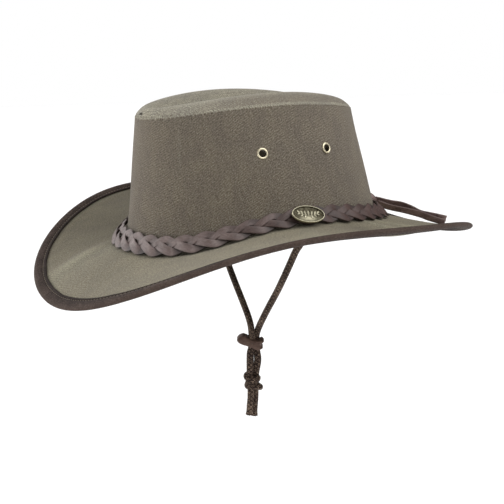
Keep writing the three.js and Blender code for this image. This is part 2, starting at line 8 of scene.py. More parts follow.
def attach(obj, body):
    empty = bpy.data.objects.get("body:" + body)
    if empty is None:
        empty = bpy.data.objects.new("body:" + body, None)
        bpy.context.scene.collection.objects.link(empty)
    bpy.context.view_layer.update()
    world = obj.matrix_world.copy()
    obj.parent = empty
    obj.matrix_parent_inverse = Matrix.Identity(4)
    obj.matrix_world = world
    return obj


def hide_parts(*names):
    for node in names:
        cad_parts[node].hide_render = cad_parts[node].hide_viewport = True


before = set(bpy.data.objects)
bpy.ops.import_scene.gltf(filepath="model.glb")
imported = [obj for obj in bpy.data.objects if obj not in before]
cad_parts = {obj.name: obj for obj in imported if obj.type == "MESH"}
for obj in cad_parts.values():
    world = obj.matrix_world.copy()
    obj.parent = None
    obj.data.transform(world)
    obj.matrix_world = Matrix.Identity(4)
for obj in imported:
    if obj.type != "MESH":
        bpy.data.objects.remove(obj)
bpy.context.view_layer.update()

# Camera: azimuth and elevation of the photograph's view, distance from the origin, focal length
CAMERA_AZIMUTH = math.radians(58.837)
CAMERA_ELEVATION = math.radians(9.486)
CAMERA_DISTANCE_M = 0.7956
CAMERA_LENS = 1002.9 / 504 * 36
CAMERA_SHIFT = (-0.00339, -0.06728)

azimuth, elevation = CAMERA_AZIMUTH, CAMERA_ELEVATION
VIEW_BACK = Vector((
    math.sin(azimuth) * math.cos(elevation),
    -math.cos(azimuth) * math.cos(elevation),
    math.sin(elevation),
))
VIEW_RIGHT = Vector((math.cos(azimuth), math.sin(azimuth), 0))
VIEW_UP = VIEW_BACK.cross(VIEW_RIGHT)


def add_object(name, data):
    thing = bpy.data.objects.new(name, data)
    bpy.context.scene.collection.objects.link(thing)
    return thing


camera = add_object("camera", bpy.data.cameras.new("camera"))
turn = Matrix((VIEW_RIGHT, VIEW_UP, VIEW_BACK)).transposed().to_4x4()
camera.matrix_world = Matrix.Translation(VIEW_BACK * CAMERA_DISTANCE_M) @ turn
camera.data.sensor_width = 36
camera.data.lens = CAMERA_LENS
camera.data.shift_x, camera.data.shift_y = CAMERA_SHIFT
camera.data.clip_start = 0.01
camera.data.clip_end = 50
bpy.context.scene.camera = camera


# Mesh helpers

UP = np.array([0.0, 0.0, 1.0])


def new_mesh(name, points, faces, uv, tone=0.0):
    """uv and tone: each vertex's place on its cloth, and its tone for the materials: painted light and
    shade, and marks such as the cord's pale yarns.
    """
    points = np.asarray(points, float)
    mesh = bpy.data.meshes.new(name)
    mesh.from_pydata((points.reshape(-1, 3) * 0.001).tolist(), [], faces)
    mesh.polygons.foreach_set("use_smooth", [True] * len(mesh.polygons))
    mesh.validate()
    mesh.update()
    layer = mesh.uv_layers.new(name="cloth")
    index = np.empty(len(mesh.loops), int)
    mesh.loops.foreach_get("vertex_index", index)
    uv = np.broadcast_to(uv, points.shape[:-1] + (2,)).reshape(-1, 2)
    layer.data.foreach_set("uv", uv[index].ravel())
    thing = add_object(name, mesh)
    vertex_values(thing, "tone", np.broadcast_to(tone, points.shape[:-1]))
    return thing


def vertex_values(thing, name, values):
    layer = thing.data.attributes.new(name, "FLOAT", "POINT")
    layer.data.foreach_set("value", np.asarray(values, float).ravel())


def shell(name, outer, inner, uv, tone, keep=None):
    """Closed wall between two rings of points, with a side face wherever a kept cell ends."""
    rows, columns = outer.shape[:2]
    if keep is None:
        keep = np.ones((rows - 1, columns), bool)
    count = rows * columns
    faces = []

    def kept(i, j):
        return 0 <= i < rows - 1 and keep[i, j % columns]

    for i in range(rows - 1):
        for j in range(columns):
            if not keep[i, j]:
                continue
            k = (j + 1) % columns
            a, b = i * columns + j, i * columns + k
            c, d = (i + 1) * columns + k, (i + 1) * columns + j
            faces.append((a, b, c, d))
            faces.append((a + count, d + count, c + count, b + count))
            if not kept(i - 1, j):
                faces.append((b, a, a + count, b + count))
            if not kept(i + 1, j):
                faces.append((d, c, c + count, d + count))
            if not kept(i, j - 1):
                faces.append((a, d, d + count, a + count))
            if not kept(i, j + 1):
                faces.append((c, b, b + count, c + count))
    return new_mesh(name, np.stack([outer, inner]), faces, uv, tone)


def unwrap_seam(thing, period):
    """Makes u run on across the seam of a wrapped grid, instead of back over the whole cloth."""
    mesh = thing.data
    layer = mesh.uv_layers[0]
    uv = np.empty(len(mesh.loops) * 2)
    layer.data.foreach_get("uv", uv)
    uv = uv.reshape(-1, 2)
    start = np.empty(len(mesh.polygons), int)
    total = np.empty(len(mesh.polygons), int)
    mesh.polygons.foreach_get("loop_start", start)
    mesh.polygons.foreach_get("loop_total", total)
    for first, number in zip(start, total):
        part = uv[first:first + number, 0]
        if part.max() - part.min() > period / 2:
            part[part < period / 2] += period
    layer.data.foreach_set("uv", uv.ravel())


def unit(v):
    return v / np.maximum(np.linalg.norm(v, axis=-1, keepdims=True), 1e-12)


def circle(count):
    return np.linspace(0, 2 * math.pi, count, endpoint=False)


def rounded(wave, power):
    """Wave between -1 and 1 made squarer, for the section of a flat strap."""
    return np.sign(wave) * np.abs(wave) ** power


def pair(a, b):
    return np.stack(np.broadcast_arrays(a, b), -1)


def distances(path):
    """Length along the path up to each of its points."""
    return np.concatenate([[0], np.cumsum(np.linalg.norm(np.diff(path, axis=0), axis=1))])


def between(a, b, start, stop, t):
    return (stop - t) / (stop - start) * a + (t - start) / (stop - start) * b


def ease(x):
    x = np.clip(x, 0, 1)
    return x * x * (3 - 2 * x)


def smooth_path(points, count):
    """Centripetal spline through the points, sampled evenly along its length."""
    p = np.asarray(points, float)
    p = np.vstack([2 * p[0] - p[1], p, 2 * p[-1] - p[-2]])
    dense = []
    for i in range(1, len(p) - 2):
        near = p[i - 1:i + 3]
        k = np.concatenate([[0], np.cumsum(np.linalg.norm(np.diff(near, axis=0), axis=1) ** 0.5)])
        t = np.linspace(k[1], k[2], 24, endpoint=False)[:, None]
        line = [between(near[j], near[j + 1], k[j], k[j + 1], t) for j in range(3)]
        bend = [between(line[j], line[j + 1], k[j], k[j + 2], t) for j in range(2)]
        dense.append(between(bend[0], bend[1], k[1], k[2], t))
    dense = np.vstack(dense + [p[-2][None]])
    length = distances(dense)
    even = np.linspace(0, length[-1], count)
    return np.stack([np.interp(even, length, dense[:, k]) for k in range(3)], -1)


def frames_along(path):
    """Side and normal at each point, turned least from point to point."""
    tangent = unit(np.gradient(path, axis=0))
    normal = np.zeros_like(path)
    first = np.array([0.3, 0.2, 1.0])
    normal[0] = unit(first - tangent[0] * first.dot(tangent[0]))
    for i in range(1, len(path)):
        n = normal[i - 1] - tangent[i] * normal[i - 1].dot(tangent[i])
        normal[i] = n / np.linalg.norm(n)
    return np.cross(tangent, normal), normal


def path_length(path):
    return float(distances(path)[-1])


def around_loop(path):
    """Direction at each point of a closed path."""
    return unit(np.roll(path, -1, 0) - np.roll(path, 1, 0))


def tube(name, rings, uv, tone=0.0, closed_path=False):
    """rings: sections x points x 3. The section is a closed loop."""
    sections, size = rings.shape[:2]
    faces = []
    last = sections if closed_path else sections - 1
    for i in range(last):
        a, b = i * size, ((i + 1) % sections) * size
        for j in range(size):
            k = (j + 1) % size
            faces.append((a + j, a + k, b + k, b + j))
    if not closed_path:
        faces.append(tuple(range(size))[::-1])
        faces.append(tuple((sections - 1) * size + j for j in range(size)))
    return face_out(new_mesh(name, rings, faces, uv, tone))


def face_out(thing):
    """Turns the faces outwards where the mesh came out inside out."""
    mesh = thing.data
    mesh.calc_loop_triangles()
    co = np.empty(len(mesh.vertices) * 3)
    mesh.vertices.foreach_get("co", co)
    co = co.reshape(-1, 3)
    tri = np.empty(len(mesh.loop_triangles) * 3, int)
    mesh.loop_triangles.foreach_get("vertices", tri)
    a, b, c = (co[tri.reshape(-1, 3)[:, k]] for k in range(3))
    if np.einsum("ij,ij->i", a, np.cross(b, c)).sum() < 0:
        mesh.flip_normals()
    return thing


# Sizes of the hat, as the solids have them

HEAD_LENGTH = 204.0
HEAD_WIDTH = 164.0
CANVAS = 2.0
EDGE_CANVAS = 1.2
GAP = 0.3
CROWN_HEIGHT = 88.0
CROWN_TOP_LENGTH = 180.0
CROWN_TOP_WIDTH = 121.5
CROWN_TOP_FORWARD = 7.0
CROWN_WAIST = 0.7
RIDGE_LENGTH = 168.0
RIDGE_WIDTH = 78.0
DENT_LENGTH = 146.0
DENT_FLOOR_WIDTH = 10.0
DENT_DEPTH = 24.0
DENT_END_DEPTH = 5.0
BRIM_WIDTH = 73.0
BAND_WIDTH = 16.5
BAND_THICKNESS = 3.8
PLAIT_PERIODS = 13
PLAIT_START = math.radians(9)
EYELET_HOLE = 5.0
EYELET_FLANGE = 8.4
EYELET_RIM = 0.8
EYELET_HEIGHT = 0.618
EYELET_MIDDLE = 89.5
EYELET_SPREAD = 16.9
BADGE_LENGTH = 25.8
BADGE_HEIGHT = 13.5
BADGE_THICKNESS = 2.4
BADGE_RIM = 1.0
BADGE_ANGLE = 85.6
BADGE_LIFT = -1.0
BADGE_TURN = math.radians(12)
KNOT_WIDTH, KNOT_DEPTH, KNOT_HEIGHT = 17.0, 8.0, 13.0
TAIL_WIDTH = 6.0
TAIL_THICKNESS = 1.6
TAIL_LEAN = 0.5
CORD_DIAMETER = 5.0
TOGGLE_DEPTH = 12.4

SECTIONS = {
    "seam": (-0.140, -0.137, -0.003, 0.097, 0.055, -0.010, -0.035),
    "rise": (-0.473, -0.227, 0.055, 0.061, 0.038, -0.101, -0.250),
    "bow": (-0.027, -0.011, 0.038, 0.089, 0.076, 0.012, -0.022),
    "top": (0.935, 0.964, 1.022, 1.056, 1.039, 0.994, 0.970),
    "ridge": (1.017, 1.043, 1.102, 1.143, 1.125, 1.066, 1.030),
    "foot": (0.50, 0.54, 0.28, 0.28, 0.32, 0.46, 0.52),
    "band": (0.96, 0.92, 0.70, 0.74, 0.74, 0.82, 0.88),
}

LEFT_CORD_ROUTE = [
    (79.0, -1.0, 2.0), (75.6, -1.0, -2.4), (71.3, -1.0, -6.4), (66.8, -1.0, -11.0),
    (62.1, -1.0, -16.0), (55.3, -1.0, -25.8), (46.6, -1.0, -38.3), (36.6, -0.6, -51.3),
    (23.4, 0.4, -66.2), (13.9, 1.5, -76.6), (4.9, 2.5, -87.2), (1.4, 2.9, -92.0),
    (-0.3, 2.8, -96.0), (-0.8, 2.7, -101.0), (-0.5, 2.7, -106.0), (0.6, 2.8, -111.0),
    (1.4, 2.9, -115.0), (1.3, 2.8, -119.0), (0.5, 2.6, -123.0), (0.0, 2.3, -126.7),
]
RIGHT_CORD_ROUTE = [
    (-79.0, -1.0, 2.0), (-75.6, -1.0, -2.4), (-71.3, -1.0, -6.4), (-66.8, -1.0, -11.0),
    (-62.1, -1.0, -16.0), (-48.0, -1.0, -33.8), (-29.2, -1.0, -56.4), (-19.4, -1.1, -67.0),
    (-11.4, -1.4, -75.3), (-5.5, -1.8, -81.5), (-1.0, -2.2, -87.9), (0.4, -2.4, -92.0),
    (1.0, -2.4, -96.0), (1.1, -2.4, -101.0), (0.5, -2.6, -106.0), (-0.6, -2.9, -111.0),
    (-1.1, -2.7, -115.0), (-1.2, -2.7, -119.0), (-0.9, -2.9, -123.0), (-0.7, -3.1, -126.7),
]
CORD_KNOT_MIDDLE = (-0.35, -0.4, -134.9)
SLACK_MIDDLE, SLACK_REACH = -117.5, 12.0     # the loose stretch between the toggle and the knot
LEFT_END_ROUTE = [(-1.05, 2.2, -143.0), (-1.05, 2.2, -148.0), (-1.35, 1.7, -156.0), (-1.55, 1.3, -164.5)]
RIGHT_END_ROUTE = [(0.35, -3.1, -143.0), (0.35, -3.1, -148.0), (-0.05, -3.6, -155.0), (-0.25, -4.0, -162.5)]
UPPER_TAIL = ((-0.07, -0.48, -0.477), [
    (176.57, 0.359, 0.157), (174.99, 0.467, 0.164), (173.69, 0.583, 0.149),
    (172.53, 0.706, 0.117), (171.27, 0.852, 0.117), (170.16, 1.005, 0.122),
])
LOWER_TAIL = ((-0.229, -0.256, -0.665), [
    (175.48, 0.351, 0.106), (173.37, 0.52, 0.104), (171.67, 0.694, 0.099),
    (170.46, 0.845, 0.08), (169.48, 0.989, 0.075),
])


def series(row):
    last = len(row) - 1
    half = [0.5] + [1.0] * (last - 1) + [0.5]
    terms = []
    for k in range(last + 1):
        weight = sum(half[i] * row[i] * math.cos(k * i * math.pi / last) for i in range(last + 1))
        terms.append(half[k] * 2 / last * weight)
    return terms


TERMS = {name: series(row) for name, row in SECTIONS.items()}


def around(name, angle):
    return sum(term * np.cos(k * angle) for k, term in enumerate(TERMS[name]))


def ellipse(angle, length, width, forward, height):
    angle, length, width, forward, height = np.broadcast_arrays(angle, length, width, forward, height)
    return np.stack([width / 2 * np.sin(angle), -length / 2 * np.cos(angle) - forward, height], -1)


def seam_height(angle):
    return around("seam", angle) * CROWN_HEIGHT


def top_height(angle):
    return around("top", angle) * CROWN_HEIGHT


def ridge_height(angle):
    return around("ridge", angle) * CROWN_HEIGHT


def wall_point(angle, share, inset=0.0):
    waist = CROWN_WAIST * 4 * share * (1 - share)
    low = (HEAD_LENGTH + 2 * CANVAS, HEAD_WIDTH + 2 * CANVAS)
    length = low[0] + (CROWN_TOP_LENGTH - low[0]) * share - 2 * (inset + waist)
    width = low[1] + (CROWN_TOP_WIDTH - low[1]) * share - 2 * (inset + waist)
    height = seam_height(angle) + (top_height(angle) - seam_height(angle)) * share
    return ellipse(angle, length, width, CROWN_TOP_FORWARD * share, height)


def outward(angle):
    x = np.sin(angle) / (HEAD_WIDTH / 2 + CANVAS)
    y = -np.cos(angle) / (HEAD_LENGTH / 2 + CANVAS)
    return unit(np.stack([x, y, 0 * x], -1))


def brim_point(angle, share, lift):
    rise = around("rise", angle) * BRIM_WIDTH
    bow = around("bow", angle) * BRIM_WIDTH
    reach = np.sqrt(BRIM_WIDTH ** 2 - rise ** 2)
    slope = (rise - 4 * bow * (1 - 2 * share)) / reach
    steep = np.hypot(1, slope)
    out = reach * share - slope * lift / steep
    up = rise * share - 4 * bow * share * (1 - share) + lift / steep
    point = wall_point(angle, 0 * share) + outward(angle) * out[..., None]
    point[..., 2] += up
    return point


def band_foot(angle):
    return around("foot", angle) * BAND_WIDTH / BRIM_WIDTH


def band_frame(angle):
    foot = brim_point(angle, band_foot(angle), CANVAS / 2 + GAP)
    width = around("band", angle) * BAND_WIDTH
    reach = around("foot", angle) * BAND_WIDTH
    climb = np.sqrt(width ** 2 - reach ** 2)
    share = (foot[..., 2] + climb - seam_height(angle)) / (top_height(angle) - seam_height(angle))
    head = wall_point(angle, share, -GAP)
    across = head - foot
    along = wall_point(angle + 0.02, share) - wall_point(angle - 0.02, share)
    out = unit(np.cross(along, across))
    sign = np.sign(np.einsum("...i,...i->...", out, outward(angle)))[..., None]
    return foot, across, out * sign


def dent_floor(angle, scale):
    along = scale * np.cos(angle)
    middle = ridge_height(math.pi / 2) - DENT_DEPTH
    end = np.where(along > 0, ridge_height(0), ridge_height(math.pi)) - DENT_END_DEPTH
    height = middle + (end - middle) * np.abs(along) ** 3
    return ellipse(angle, DENT_LENGTH * scale, DENT_FLOOR_WIDTH * scale, CROWN_TOP_FORWARD, height)


def top_surface(angle, share):
    angle, share = np.broadcast_arrays(angle, share)
    seam = ellipse(angle, CROWN_TOP_LENGTH, CROWN_TOP_WIDTH, CROWN_TOP_FORWARD, top_height(angle))
    ridge = ellipse(angle, RIDGE_LENGTH, RIDGE_WIDTH, CROWN_TOP_FORWARD, ridge_height(angle))
    floor = dent_floor(angle, 1.0)
    up = np.clip(share, 0, 1)[..., None]
    fall = np.clip(share - 1, 0, 1)[..., None]
    outer = seam + (ridge - seam) * up
    outer[..., 2] = (seam + (ridge - seam) * np.sin(up * math.pi / 2))[..., 2]
    inner = ridge + (floor - ridge) * fall
    inner[..., 2] = (ridge + (floor - ridge) * (0.5 - 0.5 * np.cos(fall * math.pi)))[..., 2]
    return np.where(share[..., None] < 1, outer, inner)


# Material helpers

def linear(red, green, blue):
    """Linear colour of an sRGB one given as 0 to 255."""
    def channel(value):
        value /= 255
        return value / 12.92 if value <= 0.04045 else ((value + 0.055) / 1.055) ** 2.4
    return (channel(red), channel(green), channel(blue), 1.0)


class Shader:
    """A material's node tree with short calls. Inputs are numbers, tuples or sockets."""

    def __init__(self, name):
        self.material = bpy.data.materials.new(name)
        self.material.use_nodes = True
        self.nodes = self.material.node_tree.nodes
        self.links = self.material.node_tree.links
        self.nodes.clear()
        self.out = self.nodes.new("ShaderNodeOutputMaterial")
        self.shader = self.nodes.new("ShaderNodeBsdfPrincipled")
        self.links.new(self.shader.outputs[0], self.out.inputs[0])

    def feed(self, socket, value):
        if isinstance(value, bpy.types.NodeSocket):
            self.links.new(value, socket)
        else:
            socket.default_value = value

    def node(self, kind, inputs=None, **settings):
        made = self.nodes.new("ShaderNode" + kind)
        for key, value in settings.items():
            setattr(made, key, value)
        for key, value in (inputs or {}).items():
            self.feed(made.inputs[key], value)
        return made

    def math(self, operation, a, b, clamp=False):
        return self.node("Math", {0: a, 1: b}, operation=operation, use_clamp=clamp).outputs[0]

    def times(self, a, b, clamp=False):
        return self.math("MULTIPLY", a, b, clamp)

    def plus(self, a, b, clamp=False):
        return self.math("ADD", a, b, clamp)

    def blend(self, first, *parts):
        """Sum of sockets, each times its share. The first comes as it is where its share is None."""
        socket, share = first
        total = socket if share is None else self.times(socket, share)
        for socket, share in parts:
            total = self.plus(total, self.times(socket, share))
        return total

    def over(self, name, sign=1.0):
        """The positive part of a mesh attribute, or of its opposite, up to 1."""
        return self.times(self.attribute(name), sign, True)

    def uv(self, scale_u, scale_v, turn=0.0):
        source = self.node("UVMap", uv_map="cloth")
        spin = self.node("Mapping", {0: source.outputs[0], 2: (0, 0, turn)})
        return self.node("Mapping", {0: spin.outputs[0], 3: (scale_u, scale_v, 1)}).outputs[0]

    def part(self, vector, index):
        return self.node("SeparateXYZ", {0: vector}).outputs[index]

    def solid(self, scale):
        source = self.node("TexCoord")
        return self.node("Mapping", {0: source.outputs["Object"], 3: (scale, scale, scale)}).outputs[0]

    def noise(self, vector, detail=0.0, roughness=0.5, flat=False):
        inputs = {"Vector": vector, "Scale": 1.0, "Detail": detail, "Roughness": roughness}
        return self.node("TexNoise", inputs, noise_dimensions="2D" if flat else "3D").outputs[0]

    def ramp(self, factor, stops):
        made = self.node("ValToRGB", {0: factor})
        ramp = made.color_ramp
        while len(ramp.elements) < len(stops):
            ramp.elements.new(0.5)
        for element, (place, colour) in zip(ramp.elements, stops):
            element.position = place
            element.color = colour
        return made.outputs[0]

    def mix(self, factor, a, b, kind="MIX"):
        made = self.node("Mix", data_type="RGBA", blend_type=kind)
        for index, value in ((0, factor), (6, a), (7, b)):
            self.feed(made.inputs[index], value)
        return made.outputs[2]

    def attribute(self, name):
        return self.node("Attribute", attribute_name=name, attribute_type="GEOMETRY").outputs["Fac"]

    def bump(self, height, distance, strength):
        return self.node("Bump", {"Height": height, "Distance": distance, "Strength": strength}).outputs[0]

    def set(self, **inputs):
        for key, value in inputs.items():
            self.feed(self.shader.inputs[key.replace("_", " ")], value)


def dress(thing, material, slot_name, *nodes):
    """Gives a piece its material, rides it on the one body and hides the nodes it replaces. slot_name is
    not used.
    """
    thing.data.materials.clear()
    thing.data.materials.append(material)
    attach(thing, "root")
    if nodes:
        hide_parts(*nodes)


THREAD_M = 0.0008
TWILL_PITCH_M = 0.0017
TWILL_TURN = math.radians(-21)
TWILL_SWAY = 6.0
# painted shade: the dark colour that negative tone mixes into the canvas
CANVAS_PAINTED_SHADE = (0.016, 0.011, 0.003, 1)
# painted light: positive tone lightens the canvas with this tint on the crown top and its edge, the brim's
# fold ridge and fold crests, and along the wall crease
PAINTED_LIGHT_TINT = (1.86, 2.06, 2.10, 1)
# painted shade: darkens and warms the band's strands from the sides to the back of the hat, where the front
# has its sheen
BACK_SHADE_TINT = (0.46, 0.335, 0.30, 1)
# painted shade: the dark colour that tone mixes into leather, where strands dive under and along strand and
# strap edges
LEATHER_PAINTED_SHADE = (0.012, 0.008, 0.007, 1)
# painted shade: the dark colour that negative tone mixes into cloth, between the cord's yarns and in the
# binding's groove and inner margin
CLOTH_PAINTED_SHADE = (0.008, 0.006, 0.005, 1)


def canvas_material(name, colour, dark, light, relief, twill):
    """Waxed canvas in a fine twill: ribs broken by short threads, slubs and soft patches of wear."""
    s = Shader(name)
    sway = s.noise(s.uv(140.0, 140.0), 1, flat=True)
    across = s.times(s.part(s.uv(1.0, 1 / TWILL_PITCH_M, TWILL_TURN), 1), 2 * math.pi)
    rib = s.math("SINE", s.plus(across, s.times(sway, TWILL_SWAY)), 0.0)
    thread = s.noise(s.uv(1 / (2.5 * THREAD_M), 1.1 / THREAD_M, TWILL_TURN), 1, flat=True)
    upright = s.noise(s.uv(1.1 / THREAD_M, 1 / (2.5 * THREAD_M), math.radians(12)), 1, flat=True)
    speck = s.noise(s.uv(1.2 / THREAD_M, 1.2 / THREAD_M), 1, 0.8, flat=True)
    patch = s.noise(s.uv(95.0, 55.0), 2, 0.6, flat=True)
    wide = s.noise(s.solid(11.0), 2, 0.5)
    ribs = s.times(rib, s.times(patch, twill))
    weave = s.blend((ribs, None), (thread, 0.26), (upright, 0.18), (speck, 0.56))
    base = s.ramp(weave, [(0.33, dark), (0.5, colour), (0.67, light)])
    wear_and_painted_shade = s.ramp(wide, [(0.36, (0.94, 0.94, 0.95, 1)), (0.64, (1.05, 1.05, 1.03, 1))])
    base = s.mix(1.0, base, wear_and_painted_shade, "MULTIPLY")
    rubbing_and_painted_light = s.ramp(patch, [(0.36, (0.94, 0.94, 0.95, 1)), (0.66, (1.06, 1.06, 1.04, 1))])
    base = s.mix(1.0, base, rubbing_and_painted_light, "MULTIPLY")
    # positive tone: painted light and painted highlight
    base = s.mix(s.over("tone"), base, PAINTED_LIGHT_TINT, "MULTIPLY")
    # negative tone: painted shade
    base = s.mix(s.over("tone", -1.0), base, CANVAS_PAINTED_SHADE)
    s.set(Base_Color=base, Roughness=0.92, Normal=s.bump(weave, relief, 0.9))
    s.set(Specular_IOR_Level=0.25, Sheen_Weight=0.08, Sheen_Roughness=0.5)
    return s.material


def leather_material(name, dark, middle, light, roughness, shine):
    s = Shader(name)
    grain = s.noise(s.solid(1600.0), 3, 0.65)
    patch = s.noise(s.solid(110.0), 3, 0.6)
    streak = s.noise(s.uv(420.0, 2600.0), 2, 0.6, flat=True)
    mixed = s.blend((patch, 0.55), (streak, 0.3), (grain, 0.15))
    base = s.ramp(mixed, [(0.34, dark), (0.5, middle), (0.68, light)])
    # painted shade towards the back of the band
    base = s.mix(s.attribute("back_shade"), base, BACK_SHADE_TINT, "MULTIPLY")
    # tone: painted shade
    base = s.mix(s.over("tone"), base, LEATHER_PAINTED_SHADE)
    rough = s.plus(s.times(grain, 0.25), roughness - 0.12)
    height = s.blend((grain, 0.5), (streak, 0.5))
    s.set(Base_Color=base, Roughness=rough, Normal=s.bump(height, 0.00022, 0.8))
    s.set(Specular_IOR_Level=shine)
    return s.material


def brass_material(name, colour, dark, roughness):
    s = Shader(name)
    patch = s.noise(s.solid(500.0), 3, 0.6)
    fine = s.noise(s.solid(3500.0), 2, 0.6)
    # tone: tarnish in the badge's hollows, painted shade in the eyelet holes and on the hidden backs, and a
    # painted reflection on the badge field
    tarnish_and_painted_light = s.plus(s.over("tone"), s.times(s.plus(patch, -0.5), 0.35), True)
    base = s.mix(tarnish_and_painted_light, colour, dark)
    rough = s.plus(s.times(tarnish_and_painted_light, 0.35), roughness)
    s.set(Base_Color=base, Roughness=rough, Normal=s.bump(fine, 0.00004, 0.5), Metallic=0.95)
    return s.material


def cloth_material(name, dark, middle, light, thread_m, roughness=0.85):
    """Fine binding cloth and cord yarn: short threads, read from the piece's own cloth map."""
    s = Shader(name)
    along = s.noise(s.uv(1 / (4 * thread_m), 1 / thread_m), 2, 0.6, flat=True)
    across = s.noise(s.uv(1 / thread_m, 1 / (3 * thread_m)), 1, 0.5, flat=True)
    patch = s.noise(s.solid(90.0), 2, 0.5)
    mixed = s.blend((along, 0.45), (across, 0.3), (patch, 0.25))
    base = s.ramp(mixed, [(0.36, dark), (0.5, middle), (0.66, light)])
    base = s.mix(s.over("tone"), base, light)
    # negative tone: painted shade
    base = s.mix(s.over("tone", -1.0), base, CLOTH_PAINTED_SHADE)
    s.set(Base_Color=base, Roughness=roughness, Normal=s.bump(mixed, 0.0002, 0.8))
    s.set(Specular_IOR_Level=0.12, Sheen_Weight=0.02)
    return s.material


CROWN_CANVAS = canvas_material(
    "crown_canvas", linear(107, 98, 87), linear(76, 68, 58), linear(142, 135, 121), 0.0004, 0.07,
)
BRIM_CANVAS = canvas_material(
    "brim_canvas", linear(118, 111, 94), linear(88, 81, 65), linear(150, 144, 126), 0.00035, 0.07,
)
BINDING_CLOTH = cloth_material(
    "binding_cloth", linear(32, 25, 22), linear(56, 45, 40), linear(90, 77, 70), 0.0006,
)
STITCH_THREAD = cloth_material(
    "stitch_thread", linear(92, 80, 70), linear(116, 104, 92), linear(140, 128, 114), 0.0003,
)
BAND_LEATHER = leather_material(
    "band_leather", linear(75, 60, 57), linear(102, 87, 83), linear(128, 113, 109), 0.5, 0.5,
)
TAIL_LEATHER = leather_material(
    "tail_leather", linear(80, 63, 60), linear(126, 105, 100), linear(152, 133, 127), 0.5, 0.45,
)
TOGGLE_LEATHER = leather_material(
    "toggle_leather", linear(66, 50, 43), linear(86, 67, 59), linear(103, 83, 74), 0.6, 0.2,
)
BADGE_BRASS = brass_material("badge_brass", linear(208, 202, 176), linear(48, 43, 28), 0.28)
EYELET_BRASS = brass_material("eyelet_brass", linear(222, 212, 184), linear(70, 61, 46), 0.35)
CORD_YARN = cloth_material(
    "cord_yarn", linear(27, 19, 17), linear(42, 31, 27), linear(154, 133, 116), 0.0005, 0.8,
)

# Chin cord: a round braid of yarns, from its tab through the toggle and the knot to its free end

CORD_RING = 48
CORD_YARNS = 8      # that wind each way
CORD_LAY = 14.0     # along the cord, one turn of a yarn round it
CORD_SPACING = 0.3


def braided(name, route, frayed=True):
    radius = CORD_DIAMETER / 2
    count = int(path_length(smooth_path(route, 400)) / CORD_SPACING)
    path = smooth_path(route, count)
    side, normal = frames_along(path)
    length = path_length(path)
    along = np.linspace(0, length, count)[:, None]
    turn = circle(CORD_RING)[None, :]
    right = CORD_YARNS * (turn + 2 * math.pi * along / CORD_LAY) / 2
    left = CORD_YARNS * (turn - 2 * math.pi * along / CORD_LAY) / 2
    over = np.sin(right) * np.sin(left) > 0
    relief = np.where(over, np.abs(np.cos(right)), np.abs(np.cos(left))) ** 0.7
    size = radius * (0.97 + 0.1 * relief)
    if frayed:
        slack = np.clip(1 - ((path[:, 2:3] - SLACK_MIDDLE) / SLACK_REACH) ** 2, 0, 1)
        size = size * (1 + 0.13 * slack)
        end = np.clip((along - (length - 3.0)) / 3.0, 0, 1)
        size = size * (1 + 0.1 * end) * (1 + 0.12 * end * np.sin(turn * 9))
    ring = path[:, None] + size[..., None] * (
        np.cos(turn)[..., None] * side[:, None] + np.sin(turn)[..., None] * normal[:, None]
    )
    cell_right, cell_left = np.floor(right / math.pi), np.floor(left / math.pi)
    pale = (cell_right % 2 == 0) & (cell_left % 2 == 0)
    # the pale cells are the pale yarns; the negative part is painted shade where the yarns dip between one
    # another
    tone = np.where(pale, 0.75 * relief, 0.0) - 0.7 * (1 - relief)
    return tube(name, ring, pair(turn * radius * 0.001, along * 0.001), tone), path


def knot_pass(start, end):
    """Points through the hidden middle of the knot, between a strand and its free end."""
    start, end = np.array(start), np.array(end)
    return [tuple(start + (end - start) * share) for share in (0.33, 0.67)]


CORDS = [
    ("chin_cord_left_braid", LEFT_CORD_ROUTE, LEFT_END_ROUTE, ("chin_cord_left", "cord_end_left")),
    ("chin_cord_right_braid", RIGHT_CORD_ROUTE, RIGHT_END_ROUTE, ("chin_cord_right", "cord_end_right")),
]
for name, route, ending, nodes in CORDS:
    points = list(route) + knot_pass(route[-1], ending[0]) + list(ending)
    cord_piece, cord_path = braided(name, points)
    dress(cord_piece, CORD_YARN, "braided_cord", *nodes)

# Crown wall

INSIDE_SHADE = -0.85      # painted shade: the inside of the crown is darkened
CROWN_GIRTH_M = 0.59
CREASE_ANGLE = math.radians(33.2)     # a faint upright crease in the wall
CREASE_REACH = math.radians(1.1)
CREASE_HEIGHT = 0.5
CREASE_TONE = 0.14


